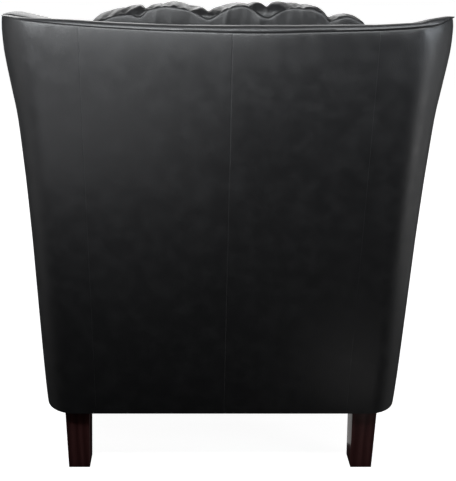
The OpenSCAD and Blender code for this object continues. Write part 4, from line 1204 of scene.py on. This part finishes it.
top_z, bot_z = CZ1 - WELT_R, CZ0 + WELT_R
rings = []
for r_ in reversed(panel_rings(bot_z, -0.08)):
    rings.append((r_, 0))
box_z = np.linspace(bot_z, top_z, 22)[1:-1]
for z in box_z:
    f = (z - bot_z) / (top_z - bot_z)
    bulge = 5.0 * math.sin(math.pi * f) ** 0.7
    p = ring_n(seam_o, NR)
    n_out = seam_ring(NR, seam_o)
    t = np.roll(n_out, -1, 0) - np.roll(n_out, 1, 0)
    nn = np.stack([t[:, 1], -t[:, 0]], -1)
    nn /= np.linalg.norm(nn, axis=1)[:, None]
    q = n_out + nn * min(bulge, 5.4)
    rings.append((np.stack([q[:, 0], q[:, 1], np.full(NR, z)], -1), 1))
for r_ in panel_rings(top_z, 1):
    rings.append((r_, 2))
V = np.concatenate([r_[0] for r_ in rings])
nr = len(rings)
idx = np.arange(nr * NR).reshape(nr, NR)
for i in range(nr - 1):
    for j in range(NR):
        k = (j + 1) % NR
        faces.append([int(idx[i, j]), int(idx[i, k]), int(idx[i + 1, k]), int(idx[i + 1, j])])
faces.append([int(v) for v in idx[0][::-1]])
faces.append([int(v) for v in idx[-1]])
cush = make("seat_cushion_cover", V, faces, angle=180)
fix_normals(cush)
kinds = np.repeat([r_[1] for r_ in rings], NR)
hold = np.zeros(len(cush.data.vertices))
zz = np.concatenate([r_[0][:, 2] for r_ in rings])
first_box = next(i for i, r_ in enumerate(rings) if r_[1] == 1)
last_box = max(i for i, r_ in enumerate(rings) if r_[1] == 1)
for i in (first_box - 1, last_box + 1):
    hold[idx[i]] = 1.0
hold[idx[: first_box]] = 1.0  # the underside rests on the deck
before = np.zeros(len(cush.data.vertices) * 3, np.float32)
cush.data.vertices.foreach_get("co", before)
before = before.reshape(-1, 3) * 1000
cloth_relax(cush, hold, pressure=1.6, frames_n=16, slack=0.006, cap=11.0, bending=0.8, stiffness=12)
# the sides never leave the space between the arms
co = np.zeros(len(cush.data.vertices) * 3, np.float32)
cush.data.vertices.foreach_get("co", co)
co = co.reshape(-1, 3) * 1000
move = co - before
top = kinds == 2
GX, GY = 36, 38
gx = (before[:, 0] + CX) / (2 * CX) * (GX - 1)
gy = (before[:, 1] - CY0) / (CY1 - CY0) * (GY - 1)
fx = np.abs(before[:, 0]) / (CX - seam_o)
fy = np.abs(before[:, 1] - centre[1]) / ((CY1 - CY0) / 2 - seam_o)
near = np.maximum(fx, fy)
grid, weight = np.zeros((GX, GY, 3)), np.zeros((GX, GY))
ix, iy = np.clip(np.rint(gx).astype(int), 0, GX - 1), np.clip(np.rint(gy).astype(int), 0, GY - 1)
np.add.at(grid, (ix[top], iy[top]), move[top])
np.add.at(weight, (ix[top], iy[top]), 1.0)
grid /= np.maximum(weight, 1)[..., None]
for _ in range(14):
    pad = np.pad(grid, ((1, 1), (1, 1), (0, 0)), mode="edge")
    wp = np.pad((weight > 0) * 1.0, 1, mode="constant")
    total_w = np.zeros((GX, GY))
    total_v = np.zeros((GX, GY, 3))
    for dx, dy, w_ in ((0, 0, 2.0), (1, 0, 1.0), (-1, 0, 1.0), (0, 1, 1.0), (0, -1, 1.0)):
        wq = wp[1 + dx : 1 + dx + GX, 1 + dy : 1 + dy + GY] * w_
        total_v += pad[1 + dx : 1 + dx + GX, 1 + dy : 1 + dy + GY] * wq[..., None]
        total_w += wq
    grid = np.where(total_w[..., None] > 0, total_v / np.maximum(total_w, 1e-9)[..., None], grid)
    weight = np.maximum(weight, (total_w > 0) * 1.0)
jx, jy = np.clip(gx.astype(int), 0, GX - 2), np.clip(gy.astype(int), 0, GY - 2)
tx, ty = (gx - jx)[:, None], (gy - jy)[:, None]
even = (grid[jx, jy] * (1 - tx) + grid[jx + 1, jy] * tx) * (1 - ty) + (grid[jx, jy + 1] * (1 - tx) + grid[jx + 1, jy + 1] * tx) * ty
keep_own = (0.55 * smooth01((near - 0.80) / 0.14))[:, None] * top[:, None] + 1.0 * (~top)[:, None]
even *= smooth01((1.0 - near) / 0.10)[:, None]
co = before + move * keep_own + even * (1 - keep_own)
# soft creases: some from the corners, some where the seat is used, short gathers along the seam
X_, Y_ = before[:, 0], before[:, 1] - centre[1]
inner = smooth01((1.0 - near) / 0.12)
crease = 1.3 * fbm(X_ / 95.0, Y_ / 120.0, 710, 2) * inner
for px, py, ang, ln, wd, dp in ((-120, -150, 28, 75, 9, 1.4), (95, -165, -20, 90, 10, 1.2), (-40, -190, 4, 70, 8, 1.1), (150, 60, 62, 80, 10, 1.1), (-165, 90, -58, 85, 10, 1.2), (20, -60, 12, 95, 12, 1.0), (-80, 20, -8, 70, 11, 0.8), (175, -205, -42, 60, 7, 1.3), (-180, -210, 44, 60, 7, 1.3), (185, 215, 44, 50, 7, 1.0), (-185, 210, -44, 50, 7, 1.0)):
    ca_, sa_ = math.cos(math.radians(ang)), math.sin(math.radians(ang))
    al = (X_ - px) * ca_ + (Y_ - py) * sa_
    ac = -(X_ - px) * sa_ + (Y_ - py) * ca_ + 9.0 * np.sin(al / 38.0 + px)
    crease += (-dp * np.exp(-((ac / wd) ** 2)) + 0.55 * dp * np.exp(-(((np.abs(ac) - 1.9 * wd) / wd) ** 2))) * np.exp(-((al / ln) ** 2)) * inner
along = np.where(fx > fy, Y_, X_)
crease += 0.75 * vnoise(along / 15.0, near * 5.0, 714) * np.exp(-((1.0 - near).clip(0, 1) / 0.13)) * smooth01((1.0 - near) / 0.03)
co[:, 2] += np.where(top, crease, 0.0)
co[:, 0] = np.clip(co[:, 0], -CX + 0.3, CX - 0.3)
co[:, 1] = np.clip(co[:, 1], CY0 - 6.0, CY1 + 0.5)
co[:, 2] = np.maximum(co[:, 2], CZ0 + 0.2)
cush.data.vertices.foreach_set("co", (co / 1000).astype(np.float32).ravel())
cush.data.update()
dress(cush, HIDE, "seat_cushion")
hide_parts("cushion_core", "cushion_panels", "cushion_boxing")

for tag, z in (("top", CZ1 - WELT_R), ("bottom", CZ0 + WELT_R)):
    p = seam_ring(NR, 3.5)
    pts = np.stack([p[:, 0], p[:, 1], np.full(NR, z)], -1)
    t_ = tube("cushion_welt_" + tag, pts, WELT_R - 0.1, 12, closed=True, wobble=0.05, seed=700)
    dress(t_, HIDE_WELT, "seat_cushion")
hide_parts("cushion_welts")
assign(ZIP, "cushion_zip")


# ------------------------------------------------------------------ legs
def leg(name, sx, y_end, direction):
    top_z_, foot_z = LEG_TOP_Z, 2.0
    bm = bmesh.new()
    rows = []
    for k in range(9):
        f = k / 8
        side = 44.0 + (50.0 - 44.0) * f
        z = foot_z + (top_z_ - foot_z) * f
        xs_ = [314 - side, 314]
        ys_ = sorted([y_end, y_end + direction * side])
        rows.append([bm.verts.new((sx * x, y, z)) for x, y in ((xs_[0], ys_[0]), (xs_[1], ys_[0]), (xs_[1], ys_[1]), (xs_[0], ys_[1]))])
    for a, b in zip(rows, rows[1:]):
        for k in range(4):
            bm.faces.new([a[k], a[(k + 1) % 4], b[(k + 1) % 4], b[k]])
    bm.faces.new(rows[0][::-1])
    bm.faces.new(rows[-1])
    bmesh.ops.recalc_face_normals(bm, faces=bm.faces)
    sharp = [e for e in bm.edges if len(e.link_faces) == 2 and e.calc_face_angle(0) > 0.6]
    bmesh.ops.bevel(bm, geom=sharp, offset=1.5, offset_type="OFFSET", segments=3, profile=0.5, affect="EDGES")
    for v in bm.verts:
        v.co /= 1000.0
    me = bpy.data.meshes.new(name)
    bm.to_mesh(me)
    bm.free()
    me.polygons.foreach_set("use_smooth", [True] * len(me.polygons))
    me.set_sharp_from_angle(angle=math.radians(30))
    return add(bpy.data.objects.new(name, me))


for n, sx, ye, dr in (("front_left", 1, -365, 1), ("front_right", -1, -365, 1), ("rear_left", 1, 345, -1), ("rear_right", -1, 345, -1)):
    o = leg("tapered_leg_" + n, sx, ye, dr)
    dress(o, LEG)
    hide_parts("leg_" + n)

# ------------------------------------------------------------------ cloth under the seat
xs = np.linspace(-341, 341, 72)
ys = np.linspace(-369, 343, 74)
Xc, Yc = np.meshgrid(xs, ys, indexing="ij")


def inside_under(x, y):
    """How far a point is inside the cloth's outline, legs cut out."""
    d = np.minimum(np.minimum(341 - np.abs(x), y + 369), 343 - y)
    corner = np.hypot(np.maximum(np.abs(x) - 294, 0), np.maximum(y - 296, 0))
    d = np.minimum(d, 47 - corner)
    return d


keep = inside_under(Xc, Yc) >= 0
for sx in (-1, 1):
    for cy_ in (-340.0, 320.0):
        keep &= ~((np.abs(Xc - sx * 289.0) < 29) & (np.abs(Yc - cy_) < 31))
sag = 5.0 * smooth01(np.clip(inside_under(Xc, Yc), 0, 160) / 160.0)
Zc = LEG_TOP_Z + 2.2 - sag + 0.8 * fbm(Xc / 70.0, Yc / 70.0, 801, 3) * smooth01(np.clip(inside_under(Xc, Yc), 0, 30) / 30)
ids = -np.ones(Xc.shape, int)
ids[keep] = np.arange(keep.sum())
Vt = np.stack([Xc[keep], Yc[keep], Zc[keep]], -1)
Vb = Vt + np.array([0, 0, 0.8])
nv = len(Vt)
quads = []
for i in range(Xc.shape[0] - 1):
    for j in range(Xc.shape[1] - 1):
        q = [ids[i, j], ids[i + 1, j], ids[i + 1, j + 1], ids[i, j + 1]]
        if min(q) >= 0:
            quads.append([int(v) for v in q])
edge_count = {}
for q in quads:
    for a, b in zip(q, q[1:] + q[:1]):
        edge_count.setdefault((min(a, b), max(a, b)), []).append((a, b))
faces = [q for q in quads] + [[v + nv for v in q[::-1]] for q in quads]
for (a, b), uses in edge_count.items():
    if len(uses) == 1:
        a, b = uses[0]
        faces.append([b, a, a + nv, b + nv])
dust = fix_normals(make("dust_cloth", np.concatenate([Vt, Vb]), faces, angle=60))
dress(dust, DUST)
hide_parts("dust_cover")

# staples that hold the cloth's edge
sv, sf = [], []
path = []
for x in np.arange(-235, 236, 47):
    path += [(x, -362, 0), (x, 336, 0)]
for y in np.arange(-290, 281, 52):
    path += [(-334, y, 1), (334, y, 1)]
for x, y, turn in path:
    hx, hy = (5.0, 0.6) if not turn else (0.6, 5.0)
    z0 = LEG_TOP_Z + 1.1
    base = len(sv)
    for dz in (0.0, 0.9):
        k = 0.75 if dz == 0 else 1.0
        for ax, ay in ((-1, -1), (1, -1), (1, 1), (-1, 1)):
            sv.append((x + ax * hx * (k if not turn else 1), y + ay * hy * (1 if not turn else k), z0 + dz))
    sf += [[base, base + 3, base + 2, base + 1], [base + 4, base + 5, base + 6, base + 7]]
    for k in range(4):
        sf.append([base + k, base + (k + 1) % 4, base + 4 + (k + 1) % 4, base + 4 + k])
st = fix_normals(make("dust_cloth_staples", sv, sf, smooth=False))
dress(st, STEEL)

# ------------------------------------------------------------------ floor, light and camera
fm, nt, b = new_material("floor", (0.82, 0.82, 0.82), 0.8)
b.inputs["Specular IOR Level"].default_value = 0.0
b.inputs["Emission Color"].default_value = (1, 1, 1, 1)
b.inputs["Emission Strength"].default_value = 0.93
me = bpy.data.meshes.new("floor")
me.from_pydata([(-40, -40, 0), (40, -40, 0), (40, 40, 0), (-40, 40, 0)], [], [[0, 1, 2, 3]])
floor = add(bpy.data.objects.new("floor", me))
me.materials.append(fm)
floor.visible_glossy = False
floor.visible_diffuse = False

# A dim studio with a few soft lobes of light: azimuth and elevation they come from, sharpness, strength
world = bpy.data.worlds.new("studio")
scene.world = world
world.use_nodes = True
wt = world.node_tree
bg = wt.nodes["Background"]
tc = node(wt, "ShaderNodeTexCoord")
total = None
for az, el, power, strength in ((180, -18, 12, 0.345), (5, 5, 14, 1.25), (270, 35, 4, 0.20), (272, 9, 40, 2.0), (90, 75, 3, 0.02)):
    d = node(wt, "ShaderNodeVectorMath", operation="DOT_PRODUCT")
    ca, ce = math.radians(az), math.radians(el)
    d.inputs[1].default_value = (math.cos(ce) * math.cos(ca), math.cos(ce) * math.sin(ca), math.sin(ce))
    wt.links.new(tc.outputs["Generated"], d.inputs[0])
    m0 = node(wt, "ShaderNodeMath", operation="MAXIMUM")
    m0.inputs[1].default_value = 0.0
    wt.links.new(d.outputs["Value"], m0.inputs[0])
    m1 = node(wt, "ShaderNodeMath", operation="POWER")
    m1.inputs[1].default_value = power
    wt.links.new(m0.outputs["Value"], m1.inputs[0])
    m2 = node(wt, "ShaderNodeMath", operation="MULTIPLY")
    m2.inputs[1].default_value = strength
    wt.links.new(m1.outputs["Value"], m2.inputs[0])
    if total is None:
        total = m2.outputs["Value"]
    else:
        s_ = node(wt, "ShaderNodeMath", operation="ADD")
        wt.links.new(total, s_.inputs[0])
        wt.links.new(m2.outputs["Value"], s_.inputs[1])
        total = s_.outputs["Value"]
wt.links.new(total, bg.inputs["Strength"])
bg.inputs["Color"].default_value = (1, 1, 1, 1)
plain = node(wt, "ShaderNodeBackground", Strength=1.0)
plain.inputs["Color"].default_value = (1, 1, 1, 1)
path = node(wt, "ShaderNodeLightPath")
both = node(wt, "ShaderNodeMixShader")
wt.links.new(path.outputs["Is Camera Ray"], both.inputs["Fac"])
wt.links.new(bg.outputs["Background"], both.inputs[1])
wt.links.new(plain.outputs["Background"], both.inputs[2])
wt.links.new(both.outputs["Shader"], wt.nodes["World Output"].inputs["Surface"])


def area(name, place, target, size, power, colour=(1, 1, 1)):
    l = bpy.data.lights.new(name, "AREA")
    l.shape = "RECTANGLE"
    l.size, l.size_y = size
    l.energy = power
    l.color = colour
    o = add(bpy.data.objects.new(name, l))
    o.location = place
    o.rotation_euler = (Vector(target) - Vector(place)).to_track_quat("-Z", "Y").to_euler()
    o.visible_camera = False
    return o


area("above_left", (0.75, 0.74, 1.22), (0.45, 0.40, 0.85), (0.45, 0.3), 0.6, (0.95, 0.98, 1.0))
area("level_left", (0.35, 0.75, 0.62), (0.21, 0.40, 0.80), (0.6, 0.2), 0.38, (0.97, 0.98, 1.0))
area("above_middle", (-0.05, 0.74, 1.22), (-0.03, 0.40, 0.85), (0.45, 0.3), 0.85, (0.95, 0.98, 1.0))
area("above_right", (-0.35, 0.58, 1.06), (-0.28, 0.40, 0.84), (0.4, 0.12), 1.1, (0.95, 0.98, 1.0))
area("behind_left", (0.50, 0.68, 0.97), (0.425, 0.40, 0.80), (0.4, 0.1), 2.65, (0.95, 0.98, 1.0))
area("behind_middle", (0.10, 0.75, 1.08), (0.085, 0.40, 0.80), (0.4, 0.12), 2.2, (0.95, 0.98, 1.0))
area("behind_low", (0.10, 0.60, 0.88), (0.085, 0.40, 0.80), (0.4, 0.1), 0.29, (0.95, 0.98, 1.0))
area("corner_right", (-0.66, 0.62, 0.93), (-0.33, 0.39, 0.88), (0.16, 0.16), 1.0, (0.86, 0.93, 1.0))
area("leg_right", (-0.34, 0.66, 0.035), (-0.289, 0.345, 0.075), (0.16, 0.05), 0.05, (1.0, 0.98, 0.97))
area("under_right", (-0.21, 0.19, 0.012), (-0.215, 0.20, 1.0), (0.14, 0.2), 0.036, (1.0, 0.99, 0.98))
area("side_low", (-1.5, 0.9, 0.4), (-0.3, 0.3, 0.5), (0.5, 0.8), 3.1)
area("side_back", (-1.2, 0.1, 0.4), (-0.3, 0.3, 0.5), (0.5, 0.8), 0.5)
area("side_high", (-1.2, 0.1, 1.1), (-0.3, 0.3, 0.5), (0.5, 0.8), 0.1)
area("front_soft", (0.3, -2.2, 2.0), (0, 0, 0.55), (2.4, 1.6), 24.0)

cam = bpy.data.cameras.new("camera")
cam_o = add(bpy.data.objects.new("camera", cam))
cam.sensor_width = 36.0
cam.lens = 800.0 / 481.0 * 36.0
cam.shift_x = 38.7 / 481.0
cam.clip_start = 0.05
cam_o.location = (0.064, 1.711, 1.060)
cam_o.rotation_euler = (math.radians(90 - 21.93), 0, math.radians(180))
scene.camera = cam_o
scene.view_settings.view_transform = "Standard"
scene.view_settings.look = "None"
scene.view_settings.exposure = 0.0
scene.view_settings.gamma = 1.0
